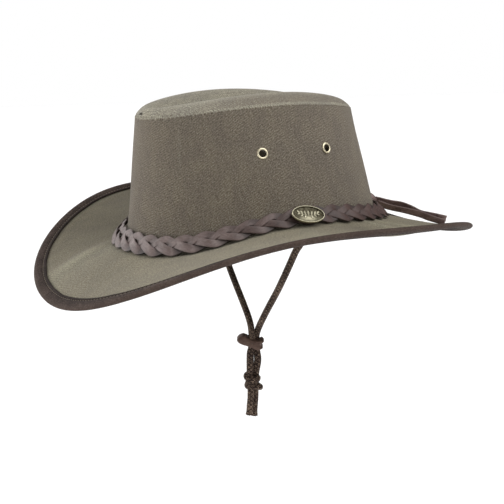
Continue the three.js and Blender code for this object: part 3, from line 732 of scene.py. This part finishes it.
def crown_wall():
    columns, rows = 540, 84
    angle = circle(columns)[None, :]
    rise = top_height(angle) - seam_height(angle)
    low = (CANVAS / 2 - 0.2) / rise
    high = 1 - (CANVAS - 0.4) / rise
    share = low + (high - low) * np.linspace(0, 1, rows)[:, None]
    outer = wall_point(angle, share)
    inner = wall_point(angle, share, CANVAS)
    out = outward(angle)
    wave = 0.35 * np.sin(5 * angle + 3 * share) + 0.25 * np.sin(9 * angle + 1 + 5 * share)
    wave = wave * np.sin(math.pi * np.clip(share, 0, 1))
    crease = np.exp(-((angle - CREASE_ANGLE) / CREASE_REACH) ** 2)
    crease = crease * np.sin(math.pi * np.clip((share - 0.55) / 0.45, 0, 1))
    wave = wave + CREASE_HEIGHT * crease
    for points in (outer, inner):
        points += out * wave[..., None]
    keep = np.ones((rows - 1, columns), bool)
    middle = 0.25 * (outer[:-1] + outer[1:] + np.roll(outer, -1, 1)[:-1] + np.roll(outer, -1, 1)[1:])
    for place in EYELET_PLACES.values():
        keep &= np.linalg.norm(middle - place[2], axis=-1) > EYELET_HOLE / 2 + 0.9
    u = angle / (2 * math.pi) * CROWN_GIRTH_M
    tone = np.stack([CREASE_TONE * crease, np.full_like(crease, INSIDE_SHADE)])
    thing = shell("crown_wall_canvas", outer, inner, pair(u, share * rise * 0.001), tone, keep)
    unwrap_seam(thing, CROWN_GIRTH_M)
    return thing


def eyelet_place(angle):
    middle = wall_point(angle, EYELET_HEIGHT)
    step = 0.02
    along = unit(wall_point(angle + step, EYELET_HEIGHT) - wall_point(angle - step, EYELET_HEIGHT))
    upward = wall_point(angle, EYELET_HEIGHT + step) - wall_point(angle, EYELET_HEIGHT - step)
    out = unit(np.cross(along, upward))
    return along, np.cross(out, along), middle, out


EYELETS = {
    "eyelet_left_front": math.radians(EYELET_MIDDLE - EYELET_SPREAD),
    "eyelet_left_back": math.radians(EYELET_MIDDLE + EYELET_SPREAD),
    "eyelet_right_front": math.radians(360 - EYELET_MIDDLE + EYELET_SPREAD),
    "eyelet_right_back": math.radians(360 - EYELET_MIDDLE - EYELET_SPREAD),
}
EYELET_PLACES = {name: eyelet_place(angle) for name, angle in EYELETS.items()}

dress(crown_wall(), CROWN_CANVAS, "crown_canvas", "crown_side")


def eyelet(name, place):
    along, up, middle, out = place
    hole, flange = EYELET_HOLE / 2, EYELET_FLANGE / 2
    face, back = GAP, -CANVAS - GAP
    profile = []
    for t in np.linspace(0, math.pi, 12):
        reach = (hole + flange) / 2 - (flange - hole) / 2 * math.cos(t)
        profile.append((reach, face + EYELET_RIM * math.sin(t) ** 0.8))
    for t in np.linspace(0, math.pi, 8):
        reach = (hole + flange - 0.4) / 2 + (flange - 0.4 - hole) / 2 * math.cos(t)
        profile.append((reach, back - EYELET_RIM * math.sin(t)))
    turn = circle(56)
    rings = []
    for t in turn:
        direction = math.cos(t) * along + math.sin(t) * up
        rings.append([middle + direction * r + out * h for r, h in profile])
    # painted shade: dark on the lip of the hole and on the back flange
    tone = [1.0 if r < hole + 0.25 or h < face else 0.0 for r, h in profile]
    uv = pair(turn[:, None], [r for r, _ in profile])
    return tube(name + "_rolled", np.array(rings), uv, tone, closed_path=True)


for name, place in EYELET_PLACES.items():
    dress(eyelet(name, place), EYELET_BRASS, "eyelet_brass", name)


# Crown top: rolled edge, ridges and the dent between them

EDGE_ROLL = ((-2.0, -0.05), (-1.5, 0.14), (-1.0, 0.14), (-0.5, -0.05), (0.0, -0.45), (0.45, -1.1))
# painted highlight along the top's rolled edge, where it catches the light
EDGE_PAINTED_HIGHLIGHT = (0.0, 0.0, 0.1, 0.4, 0.7, 0.7, 0.5)
# painted light: the whole crown top is lightened, and more towards the ridges and the dent and over the
# front slope
TOP_PAINTED_LIGHT = 0.2
TOP_PAINTED_HIGHLIGHT = 0.5
NOTCH_SHADE_ANGLE = math.radians(-2.4)      # painted shade: a small dark spot on the front of the top, where the dent's notch meets the edge
NOTCH_SHADE_SHARE = 0.28


def crown_top():
    columns = 480
    angle = circle(columns)[None, :]
    shares = np.concatenate([np.linspace(0.1, 1, 32), np.linspace(1.03, 2, 46)])
    scales = np.array([0.8, 0.6, 0.4, 0.2, 0.05])
    rows = [top_surface(angle, share)[0] for share in shares]
    rows += [dent_floor(angle[0], scale) for scale in scales]
    rim = top_surface(angle, 0)[0]
    out = outward(angle)[0]
    edge = [rim + out * reach + UP * lift for lift, reach in EDGE_ROLL]
    inside = wall_point(angle, 1, CANVAS)[0] - UP * CANVAS
    outer = np.array(edge + rows)
    inner = np.array([inside] * len(edge) + [row - UP * CANVAS for row in rows])
    # painted light and painted highlight on the crown top and its edge
    rubbing_and_painted_light = np.full((outer.shape[0], columns), TOP_PAINTED_LIGHT)
    reach = np.concatenate([np.zeros(len(edge)), shares, np.full(len(scales), 2.0)])
    rubbing_and_painted_light += TOP_PAINTED_HIGHLIGHT * ease((reach[:, None] - 0.4) / 0.6)
    rubbing_and_painted_light += TOP_PAINTED_HIGHLIGHT * ease(1.6 * np.cos(angle) - 0.5) * (reach[:, None] < 1)
    rubbing_and_painted_light[:len(EDGE_PAINTED_HIGHLIGHT)] = np.array(EDGE_PAINTED_HIGHLIGHT)[:, None]
    rubbing_and_painted_light = np.clip(rubbing_and_painted_light, 0, 0.75)
    # painted shade at the front notch
    notch_shade = np.exp(-((np.cos(angle - NOTCH_SHADE_ANGLE) - 1) / 0.0012) ** 2)
    notch_shade = notch_shade * np.exp(-((reach[:, None] - NOTCH_SHADE_SHARE) / 0.07) ** 2)
    rubbing_and_painted_light = np.where(notch_shade > 0.2, -0.95, rubbing_and_painted_light)
    return shell("crown_top_canvas", outer, inner, outer[..., :2] * 0.001, np.stack([rubbing_and_painted_light, 0 * rubbing_and_painted_light]))


dress(crown_top(), CROWN_CANVAS, "crown_canvas", "crown_top")

# Brim, with soft folds in its cloth

BRIM_FOLDS = (
    # angle at the seam and at the edge, where it starts and ends as shares, width in degrees, height
    (336.5, 349.0, 0.02, 0.85, 3.6, 1.3),
    (115.5, 115.0, 0.0, 0.7, 1.6, 1.8),
    (126.0, 124.0, 0.0, 0.9, 2.0, 1.3),
    (105.0, 107.0, 0.0, 0.9, 5.0, -1.1),
    (84.0, 78.0, 0.1, 1.0, 4.0, 0.8),
    (8.0, 12.0, 0.3, 0.95, 9.0, -0.5),
    (313.0, 318.0, 0.1, 0.9, 9.0, -0.4),
    (250.0, 252.0, 0.1, 0.9, 8.0, 0.5),
    (190.0, 186.0, 0.2, 0.9, 8.0, -0.4),
)

BRIM_PAINTED_SHADING = (
    # angle, and its painted shading there: negative is painted shade on the brim from 275 to 339 degrees,
    # positive a painted highlight along the fold ridge near 345 degrees
    (250, 0.0), (275, -0.42), (330, -0.31), (339, -0.2), (345, 0.12), (351, 0.1), (360, 0.0),
)
FOLD_PAINTED_SHADING = 0.2        # painted highlight on fold crests and painted shade in sunk folds, for each millimetre that a fold stands up or sinks


def brim_fold(angle, share, start, stop, first, last, wide, height):
    line = np.radians(start + (stop - start) * share)
    off = (angle - line + math.pi) % (2 * math.pi) - math.pi
    along = np.clip((share - first) / (last - first), 0, 1)
    return height * np.exp(-(off / math.radians(wide)) ** 2) * np.sin(math.pi * along) ** 0.7


def brim():
    angle = circle(600)[None, :]
    grid_angle, grid_share = np.broadcast_arrays(angle, np.linspace(0, 0.995, 58)[:, None])
    half = CANVAS / 2
    thin = np.interp(grid_share, (0.85, 0.875), (half, EDGE_CANVAS / 2))
    faces = []
    folds = sum(brim_fold(grid_angle, grid_share, *fold) for fold in BRIM_FOLDS)
    for side in (1, -1):
        rows = brim_point(grid_angle, grid_share, side * thin + folds)
        margin = wall_point(angle, 0, CANVAS) + UP * side * half
        faces.append(np.concatenate([margin, rows]))
    outer, inner = faces
    # painted shade and painted highlight on the brim, by angle
    wear_and_painted_shade = np.interp(np.degrees(angle), *np.array(BRIM_PAINTED_SHADING).T)
    crest = np.concatenate([folds[:1], folds])
    return shell("brim_canvas_ring", outer, inner, outer[..., :2] * 0.001, wear_and_painted_shade + FOLD_PAINTED_SHADING * crest)


dress(brim(), BRIM_CANVAS, "brim_canvas", "brim")


# Binding and its row of stitches

def edge_frame(angle):
    edge = brim_point(angle, 1, 0)
    inner = brim_point(angle, 0.85, 0)
    out = unit(edge - inner)
    along = unit(edge_along(angle))
    up = unit(np.cross(along, out))
    up = up * np.sign(up[..., 2:3])
    return edge, out, up, along


def edge_along(angle):
    step = 0.005
    return brim_point(angle + step, 1, 0) - brim_point(angle - step, 1, 0)


BINDING_TONE = (
    # place across the edge, and its tone there: negative is painted shade at the binding's inner margin and
    # in the stitch groove, positive makes the outer roll lighter
    (-9, -0.7), (-7, -0.45), (-6.8, -0.75), (-5.8, -0.75), (-5.6, -0.2), (-3.5, -0.12), (-1.5, 0.0),
    (1, 0.3), (2, 0.45),
)
BINDING_TOP = [
    (-9.0, 1.1), (-9.05, 1.5), (-8.8, 1.85), (-8.2, 2.0), (-7.4, 2.0), (-6.9, 1.85), (-6.5, 1.58),
    (-6.1, 1.55), (-5.7, 1.75), (-5.1, 1.95), (-4.0, 2.08), (-2.8, 2.12), (-1.4, 2.08), (-0.2, 1.92),
    (0.9, 1.55), (1.6, 1.0), (1.93, 0.5), (2.0, 0.0),
]
STITCH_LINE = -6.3


def binding():
    angle = circle(720)
    edge, out, up, _ = edge_frame(angle)
    lower = [(a, -b) for a, b in BINDING_TOP[::-1][1:]]
    hem = [(GAP, -1.05), (GAP, 1.05)]
    profile = np.array(BINDING_TOP + lower + hem)
    sway = 0.12 * np.sin(23 * angle + 1) + 0.1 * np.sin(41 * angle)
    reach = profile[None, :, 0] + np.where(profile[None, :, 0] < -7, sway[:, None], 0)
    rings = edge[:, None] + out[:, None] * reach[..., None] + up[:, None] * profile[None, :, 1:2]
    girth = distances(edge)
    uv = pair(girth[:, None] * 0.001, distances(profile)[None, :] * 0.001)
    tone = np.interp(profile[:, 0], *np.array(BINDING_TONE).T)
    thing = tube("brim_binding_roll", rings, uv, tone, closed_path=True)
    unwrap_seam(thing, girth[-1] * 0.001)
    return thing, girth[-1]


binding_piece, edge_girth = binding()
dress(binding_piece, BINDING_CLOTH, "binding_cloth", "brim_binding")


def stitches(name, places, length, width, thick):
    """places: centre, direction along the row and up, for each stitch, a thread with rounded ends."""
    rings, sides = 5, 6
    level = np.linspace(-1, 1, rings)[:, None, None]
    turn = circle(sides)[None, :, None]
    radius = np.sqrt(np.maximum(0.06, 1 - np.abs(level) ** 2.6)) / 2
    points, faces = [], []
    for base, (centre, along, up) in enumerate(places):
        off = np.cross(up, along) * width * np.cos(turn) + up * thick * np.sin(turn)
        points.append(centre + along * level * length / 2 + radius * off)
        base *= rings * sides
        for i in range(base, base + (rings - 1) * sides, sides):
            for j in range(sides):
                k = (j + 1) % sides
                faces.append((i + j, i + k, i + sides + k, i + sides + j))
        faces.append(tuple(base + j for j in range(sides))[::-1])
        faces.append(tuple(base + (rings - 1) * sides + j for j in range(sides)))
    uv = pair(np.arange(rings)[:, None] * length / rings * 0.001, np.arange(sides) * width * 0.0005)
    return new_mesh(name, points, faces, uv)


STITCH_PITCH = 3.4
STITCH_HEIGHT = 1.62


def edge_stitches():
    """One row above and one below the brim, evenly spaced along its edge."""
    dense = np.linspace(0, 2 * math.pi, 2881)
    length = distances(edge_frame(dense)[0])
    count = int(edge_girth / STITCH_PITCH)
    angle = np.interp(np.arange(count) / count * length[-1], length, dense)
    edge, out, up, along = edge_frame(angle)
    lean = unit(along + 0.05 * out)
    places = []
    for height in (STITCH_HEIGHT, -STITCH_HEIGHT):
        places += zip(edge + out * STITCH_LINE + up * height, lean, up)
    return stitches("brim_binding_stitches", places, 2.5, 0.55, 0.5)


dress(edge_stitches(), STITCH_THREAD, "binding_cloth")


# Plaited band

PLAIT_SWING = 0.325
PLAIT_MIDDLE = 0.33     # height at which the strands cross, where 1 is the top of their swing
STRAND_WIDTH = 6.7
STRAND_THICKNESS = 1.2
PLAIT_LIFT = 0.85


def zigzag(phase):
    """Wave between -1 and 1 with straight flanks and rounded tips."""
    return np.arcsin(0.94 * np.sin(phase)) / math.asin(0.94)


def strand(index):
    steps = PLAIT_PERIODS * 48
    angle = circle(steps)
    phase = PLAIT_PERIODS * angle - PLAIT_START + index * 2 * math.pi / 3
    foot, across, out = band_frame(angle)
    width = np.linalg.norm(across, axis=-1, keepdims=True)
    back = ease((np.minimum(angle, 2 * math.pi - angle) - 0.75) / 0.85)[:, None]
    high = zigzag(phase)[:, None]
    over = 2 * np.cos(phase)[:, None] * (high - PLAIT_MIDDLE * (1 - back))
    path = foot + across * (PLAIT_SWING * high + 0.48) + out * (0.5 * BAND_THICKNESS + PLAIT_LIFT * over)
    tangent = around_loop(path)
    side = unit(np.cross(tangent, out))
    normal = np.cross(side, tangent)
    tilt = 0.16 * np.cos(phase)[:, None]
    side, normal = (
        np.cos(tilt) * side + np.sin(tilt) * normal,
        np.cos(tilt) * normal - np.sin(tilt) * side,
    )
    narrow = (width / BAND_WIDTH) * STRAND_WIDTH * (1 - 0.06 * high)
    turn = circle(24)
    flat = rounded(np.cos(turn), 0.6)[None, :, None]
    thick = rounded(np.sin(turn), 0.5)[None, :, None]
    rings = path[:, None] + side[:, None] * (flat * narrow[:, None] / 2)
    rings += normal[:, None] * (thick * STRAND_THICKNESS / 2)
    uv = pair(np.linspace(0, 0.64, steps)[:, None], turn[None, :] * STRAND_WIDTH * 0.0003)
    # painted shade: each strand is darkened where it dives under the next one and along its edges
    under_shade = np.clip(-over - 0.1, 0, 1)
    rim = np.abs(np.cos(turn))[None, :] ** 12
    tone = np.clip(0.7 * under_shade + 0.55 * rim, 0, 0.95)
    thing = tube(f"band_strand_{index + 1}", rings, uv, tone, closed_path=True)
    # painted shade from the sides to the back of the band
    vertex_values(thing, "back_shade", np.broadcast_to(back, tone.shape))
    return thing


for index, nodes in enumerate((("hat_band",), (), ())):
    dress(strand(index), BAND_LEATHER, "band_leather", *nodes)


# Badge: oval plate with a raised rim and a sprig of leaves in low relief

def placed(points, x_axis, y_axis, middle, z_axis):
    """Points given along three directions, put in the hat's frame."""
    return middle + points @ np.array([x_axis, y_axis, z_axis])


def stem_height(x):
    return 0.035 * x ** 2 - 1.3


def leaf(x, y, foot, degrees, length, width):
    """Height share of one pointed leaf: 0 outside, up to 1 along its middle."""
    c, s = math.cos(math.radians(degrees)), math.sin(math.radians(degrees))
    x, y = x - foot[0], y - foot[1]
    u = (c * x + s * y) / length
    w = (c * y - s * x) / width
    edge = np.clip(4 * u * (1 - u), 0, 1) ** 0.8
    body = np.where((u > 0) & (u < 1), np.clip(1 - (w / np.maximum(edge * 0.5, 1e-3)) ** 2, 0, 1), 0)
    vein = np.exp(-(w / 0.07) ** 2) * (u > 0) * (u < 1)
    return body ** 0.6 * (1 - 0.35 * vein)


def badge():
    rings, turns = 110, 200
    turn = circle(turns)[None, :]
    size = np.linspace(0.01, 1.0, rings)[:, None]
    a, b = BADGE_LENGTH / 2, BADGE_HEIGHT / 2
    x = a * size * np.cos(turn)
    y = b * size * np.sin(turn)
    inset = (1 - size) * a * b / np.hypot(b * np.cos(turn), a * np.sin(turn))
    rim = np.clip(1 - (2 * inset / BADGE_RIM - 1) ** 2, 0, 1) ** 0.5
    field = 0.62 + 0.16 * (1 - (size / 0.85) ** 2)
    stem = np.exp(-((y - stem_height(x)) / 0.28) ** 2) * (np.abs(x) < 7.2)
    relief = 0.8 * stem
    for k in range(-3, 4):
        foot = (2.2 * k, stem_height(2.2 * k))
        relief = np.maximum(relief, leaf(x, y, foot, 90 - 13 * k, 4.1 - 0.28 * abs(k), 2.0))
        if k:
            relief = np.maximum(relief, leaf(x, y, foot, 24 * k - 90, 2.3, 1.5))
    relief = relief * np.clip((inset - BADGE_RIM - 0.2) / 0.5, 0, 1)
    height = np.where(inset < BADGE_RIM, 0.5 + 0.5 * rim, field + 0.2 * relief)
    height = BADGE_THICKNESS * np.where(size > 0.995, 0.3, height)
    frame_of = badge_place()
    outer = placed(np.stack([x, y, height], -1)[::-1], *frame_of)
    back = placed(np.stack([x * 0.97, y * 0.95, 0 * height], -1)[::-1], *frame_of)
    # painted reflection: a soft lighter patch low in the middle of the field; the back of the plate is
    # painted shade
    painted_reflection = np.exp(-(x / 5.5) ** 2 - ((y + 3.2) / 2.0) ** 2)
    dark = np.where(inset < BADGE_RIM, 0.1, 0.92 - 0.42 * painted_reflection - 0.5 * relief)
    dark = np.where(size > 0.995, 0.8, dark)
    dark = np.where(np.abs(inset - BADGE_RIM) < 0.2, 1.0, dark)[::-1]
    tone = np.stack([dark, np.ones_like(dark)])
    return face_out(shell("badge_plate", outer, back, pair(x, y)[::-1] * 0.001, tone))


def badge_place():
    angle = math.radians(BADGE_ANGLE)
    foot, across, out = band_frame(angle)
    rise = unit(across)
    middle = foot + across * 0.5 + rise * BADGE_LIFT + out * (BAND_THICKNESS + GAP)
    tilt = rise * math.cos(BADGE_TURN) - np.cross(out, rise) * math.sin(BADGE_TURN)
    return np.cross(tilt, out), tilt, middle, out


dress(badge(), BADGE_BRASS, "badge_brass", "badge")


# Tie of the band at the back: two turns of strap over a core, and the two loose ends

def knot_place():
    foot, across, out = band_frame(math.pi)
    up = unit(across)
    middle = foot + across * 0.5 + out * (BAND_THICKNESS + GAP + KNOT_DEPTH / 2)
    return np.cross(up, out), -out, middle, up


def strap(name, path, side, width, thickness, closed_path=False, curl=0.0):
    """Flat leather strap along a path; side is its width's direction."""
    tangent = around_loop(path) if closed_path else unit(np.gradient(path, axis=0))
    side = unit(side - tangent * (side * tangent).sum(-1, keepdims=True))
    normal = np.cross(tangent, side)
    turn = circle(14)
    flat, thick = rounded(np.cos(turn), 0.7)[None, :], rounded(np.sin(turn), 0.8)[None, :]
    half = np.broadcast_to(width, (len(path),))[:, None] / 2
    rings = path[:, None] + side[:, None] * (flat * half)[..., None]
    rings += normal[:, None] * (thick * thickness / 2 + curl * flat ** 2 * half)[..., None]
    uv = pair(distances(path)[:, None] * 0.001, turn[None, :] * 0.002)
    # painted shade along the strap's edges
    return tube(name, rings, uv, 0.3 * np.cos(turn) ** 8, closed_path)


def join(name, things):
    """Joins meshes into one object and keeps their vertex attributes and cloth maps."""
    bpy.ops.object.select_all(action="DESELECT")
    for thing in things:
        thing.select_set(True)
    bpy.context.view_layer.objects.active = things[0]
    bpy.ops.object.join()
    things[0].name = name
    return things[0]


BAND_KNOT_TURNS = ((-3.2, 0.28, 5.5, 1.5), (3.0, 0.22, 5.5, 1.5), (-0.2, -0.5, 4.5, 1.7))


def band_knot():
    x_axis, y_axis, middle, z_axis = knot_place()
    turns = []
    t = circle(72)
    high = 5.4 * np.cos(t)
    for shift, lean, width, thickness in BAND_KNOT_TURNS:
        points = np.stack([shift + lean * high, -3.1 * np.sin(t), high], -1)
        path = placed(points, x_axis, y_axis, middle, z_axis)
        turns.append(strap("turn", path, x_axis, width, thickness, closed_path=True))
    path = middle + np.linspace(-7.2, 7.2, 12)[:, None] * x_axis
    turns.append(strap("core", path, z_axis, 8.4, 4.6))
    return join("band_knot_turns", turns)


dress(band_knot(), TAIL_LEATHER, "tail_leather", "band_knot")


def tail_path(tail, count):
    start, route = tail
    points = [placed(np.array(start) * (KNOT_WIDTH, KNOT_DEPTH, KNOT_HEIGHT), *knot_place())]
    for degrees, share, lift in route:
        points.append(brim_point(math.radians(degrees), share, lift * BRIM_WIDTH))
    return smooth_path(np.array(points), count)


for node, tail, seed in (("band_tail_upper", UPPER_TAIL, 0.0), ("band_tail_lower", LOWER_TAIL, 1.7)):
    path = tail_path(tail, 70)
    t = np.linspace(0, 1, len(path))
    side = np.array([math.sin(TAIL_LEAN), 0, math.cos(TAIL_LEAN)])
    side = side + 0.12 * np.sin(5 * t + seed)[:, None] * np.array([1.0, 0, 0])
    width = TAIL_WIDTH * (1 + 0.05 * np.sin(9 * t + seed))
    piece = strap(node + "_strap", path, side, width, TAIL_THICKNESS, curl=0.12)
    dress(piece, TAIL_LEATHER, "tail_leather", node)


# Tabs inside the crown, which the chin cord is sewn to

TAB_WIDTH, TAB_HEIGHT, TAB_THICKNESS = 12.0, 15.0, 3.0


def tab_place(side):
    foot = abs(LEFT_CORD_ROUTE[0][2]) + GAP
    angle = side * math.pi / 2
    low = wall_point(angle, 0.0, CANVAS + GAP)
    high = wall_point(angle, 0.2, CANVAS + GAP)
    middle = low + (high - low) * (foot + TAB_HEIGHT / 2 - low[2]) / (high[2] - low[2])
    middle[0] -= side * (TAB_THICKNESS / 2 + CROWN_WAIST)
    up = unit(high - low)
    along = np.array([0.0, 1.0, 0.0])
    return middle, up, along, np.cross(along, up)


def tab(name, side):
    middle, up, along, out = tab_place(side)
    levels = np.linspace(-1, 1, 24)
    turn = circle(32)
    flat, thick = rounded(np.cos(turn), 0.35), rounded(np.sin(turn), 0.6)
    rings = []
    for level in levels:
        fold = math.sqrt(max(0.05, 1 - abs(level) ** 9))
        swell = 0.78 + 0.22 * (1 - abs(level + 0.4)) if level < 0 else 0.72
        rings.append(
            middle + up * (level * TAB_HEIGHT / 2)
            + np.outer(flat, along) * (TAB_WIDTH / 2 * (0.97 + 0.03 * fold))
            + np.outer(thick, out) * (TAB_THICKNESS / 2 * swell * fold)
        )
    return tube(name, np.array(rings), pair(turn[None, :] * 0.004, levels[:, None] * 0.0075))


def tab_stitches(name, side):
    middle, up, along, out = tab_place(side)
    inward = out * (1 if (out[0] > 0) == (side < 0) else -1)
    places = []
    corners = [(-4.6, -1.5), (4.6, -1.5), (4.6, 6.0), (-4.6, 6.0), (-4.6, -1.5)]
    for (a0, b0), (a1, b1) in zip(corners, corners[1:]):
        count = max(2, int(math.hypot(a1 - a0, b1 - b0) / 2.1))
        for k in range(count):
            share = (k + 0.5) / count
            a, b = a0 + (a1 - a0) * share, b0 + (b1 - b0) * share
            way = unit(along * (a1 - a0) + up * (b1 - b0))
            places.append((middle + along * a + up * b + inward * 1.12, way, inward))
    return stitches(name, places, 1.6, 0.5, 0.5)


for side, name in ((1, "strap_tab_left"), (-1, "strap_tab_right")):
    dress(tab(name + "_canvas", side), CROWN_CANVAS, "crown_canvas", name)
    dress(tab_stitches(name + "_stitches", side), STITCH_THREAD, "binding_cloth")


# Toggle: a leather slide on both strands of the cord

TOGGLE_TURN = math.radians(58.8)
TOGGLE_TILT = math.radians(-9)
TOGGLE_MIDDLE = np.array([0.1, 0.1, -102.2])
TOGGLE_OUTLINE = [
    (-14.0, 1.1), (-13.2, 3.0), (-11.6, 4.4), (-9.4, 5.4), (-7.0, 5.0), (-4.4, 4.2), (-0.5, 3.8),
    (2.8, 3.6), (5.2, 3.9), (7.0, 3.8), (7.8, 3.2), (6.9, 2.4), (5.9, 1.4), (5.6, 0.6), (6.2, -0.6),
    (7.6, -1.6), (7.5, -2.5), (6.2, -3.6), (4.5, -4.8), (3.0, -4.8), (-1.0, -3.6), (-4.4, -2.8),
    (-9.0, -2.1), (-11.9, -1.2), (-13.4, -0.1),
]
TOGGLE_ROUND = 2.4       # how far its edges are rounded, in depth


def toggle():
    closed = np.array([(x, y, 0.0) for x, y in TOGGLE_OUTLINE])
    around_again = np.vstack([closed[-3:], closed, closed[:4]])
    path = smooth_path(around_again, 900)
    start = np.argmin(np.linalg.norm(path[:200] - closed[0], axis=1))
    stop = 500 + np.argmin(np.linalg.norm(path[500:] - closed[0], axis=1))
    loop = path[np.linspace(start, stop - 1, 161).astype(int)[:-1]]
    tangent = around_loop(loop)
    inward = np.stack([-tangent[:, 1], tangent[:, 0], 0 * tangent[:, 0]], -1)
    centre = loop.mean(0)
    inward *= math.copysign(1, (inward * (centre - loop)).sum())
    half = TOGGLE_DEPTH / 2
    rings = []
    for over in np.linspace(0, 1, 9):
        inset = TOGGLE_ROUND * 0.8 * (1 - math.sqrt(1 - over ** 2))
        rings.append(loop + inward * inset + UP * (half - TOGGLE_ROUND * (1 - over)))
    for shrink in (0.82, 0.6, 0.35, 0.12):
        ring = centre + (rings[8] - UP * half - centre) * shrink
        rings.append(ring + UP * (half + 0.25 * (1 - shrink)))
    front = np.array(rings)
    local = np.concatenate([front[::-1] * (1, 1, -1), front])
    across = np.array([math.cos(TOGGLE_TURN), math.sin(TOGGLE_TURN), 0.0])
    x_axis = math.cos(TOGGLE_TILT) * across + math.sin(TOGGLE_TILT) * UP
    y_axis = math.cos(TOGGLE_TILT) * UP - math.sin(TOGGLE_TILT) * across
    points = placed(local, x_axis, y_axis, TOGGLE_MIDDLE, np.cross(across, UP))
    uv = pair(local[..., 0], local[..., 1] + local[..., 2]) * 0.001
    return tube("cord_toggle_leather", points, uv)


toggle_piece = toggle()
dress(toggle_piece, TOGGLE_LEATHER, "toggle_leather", "cord_toggle")


# Knot: both strands wound round themselves

CORD_KNOT_TURNS = (
    # height, lean, radius and shift to the side
    (2.7, -0.34, 4.2, -1.0), (-2.4, -0.42, 4.6, 1.0), (0.2, 0.75, 4.1, -0.4),
)


def knot():
    right = np.array(VIEW_RIGHT)
    turns = []
    t = np.linspace(0, 2 * math.pi * 1.04, 90)[::6]
    for height, lean, wide, shift in CORD_KNOT_TURNS:
        x = wide * np.cos(t) + shift
        points = np.stack([x, wide * np.sin(t), height + lean * x + 0.7 * np.sin(2 * t)], -1)
        path = placed(points, right, np.cross(right, UP), np.array(CORD_KNOT_MIDDLE), UP)
        turns.append(braided("turn", path, frayed=False)[0])
    return join("cord_knot_turns", turns)


knot_turns = knot()
dress(knot_turns, CORD_YARN, "braided_cord", "cord_knot")

# Floor and light

FLOOR_Z_M = -0.6
FLOOR_REACH_M = 12.0
SQUARE = ((-1, -1), (1, -1), (1, 1), (-1, 1))
SUN_ANGLE = math.radians(70)


def floor():
    mesh = bpy.data.meshes.new("floor")
    corners = [(x * FLOOR_REACH_M, y * FLOOR_REACH_M, FLOOR_Z_M) for x, y in SQUARE]
    mesh.from_pydata(corners, [], [(0, 1, 2, 3)])
    s = Shader("floor_paper")
    s.set(Base_Color=(0.96, 0.96, 0.96, 1), Roughness=0.95)
    mesh.materials.append(s.material)
    add_object("floor", mesh)


def lamp(name, right, up, near, energy):
    """Soft sun from a direction given to the right, up and towards the camera."""
    way = (VIEW_RIGHT * right + VIEW_UP * up + VIEW_BACK * near).normalized()
    data = bpy.data.lights.new(name, "SUN")
    data.energy = energy
    data.angle = SUN_ANGLE
    thing = add_object(name, data)
    thing.location = way * 2.0
    thing.rotation_euler = way.to_track_quat("Z", "Y").to_euler()


def studio(seen, light):
    """World that looks white to the camera and lights the hat more softly."""
    world = bpy.data.worlds.new("studio")
    bpy.context.scene.world = world
    world.use_nodes = True
    nodes, links = world.node_tree.nodes, world.node_tree.links
    behind = nodes["Background"]
    behind.inputs[1].default_value = seen
    around_hat = nodes.new("ShaderNodeBackground")
    around_hat.inputs[1].default_value = light
    for shader in (behind, around_hat):
        shader.inputs[0].default_value = (1, 1, 1, 1)
    path = nodes.new("ShaderNodeLightPath")
    mix = nodes.new("ShaderNodeMixShader")
    links.new(path.outputs["Is Camera Ray"], mix.inputs[0])
    links.new(around_hat.outputs[0], mix.inputs[1])
    links.new(behind.outputs[0], mix.inputs[2])
    links.new(mix.outputs[0], nodes["World Output"].inputs[0])


floor()
lamp("key", 0.6, 0.7, 0.4, 2.5)
lamp("left", -1.0, 0.2, 0.1, 2.3)
lamp("left_back", -0.8, 0.25, -0.6, 1.4)
lamp("top", 0.0, 1.0, -0.1, 0.7)
studio(1.0, 0.12)

view = bpy.context.scene.view_settings
view.view_transform = "Standard"
view.look = "None"
view.exposure = 0
view.gamma = 1

bpy.context.view_layer.update()
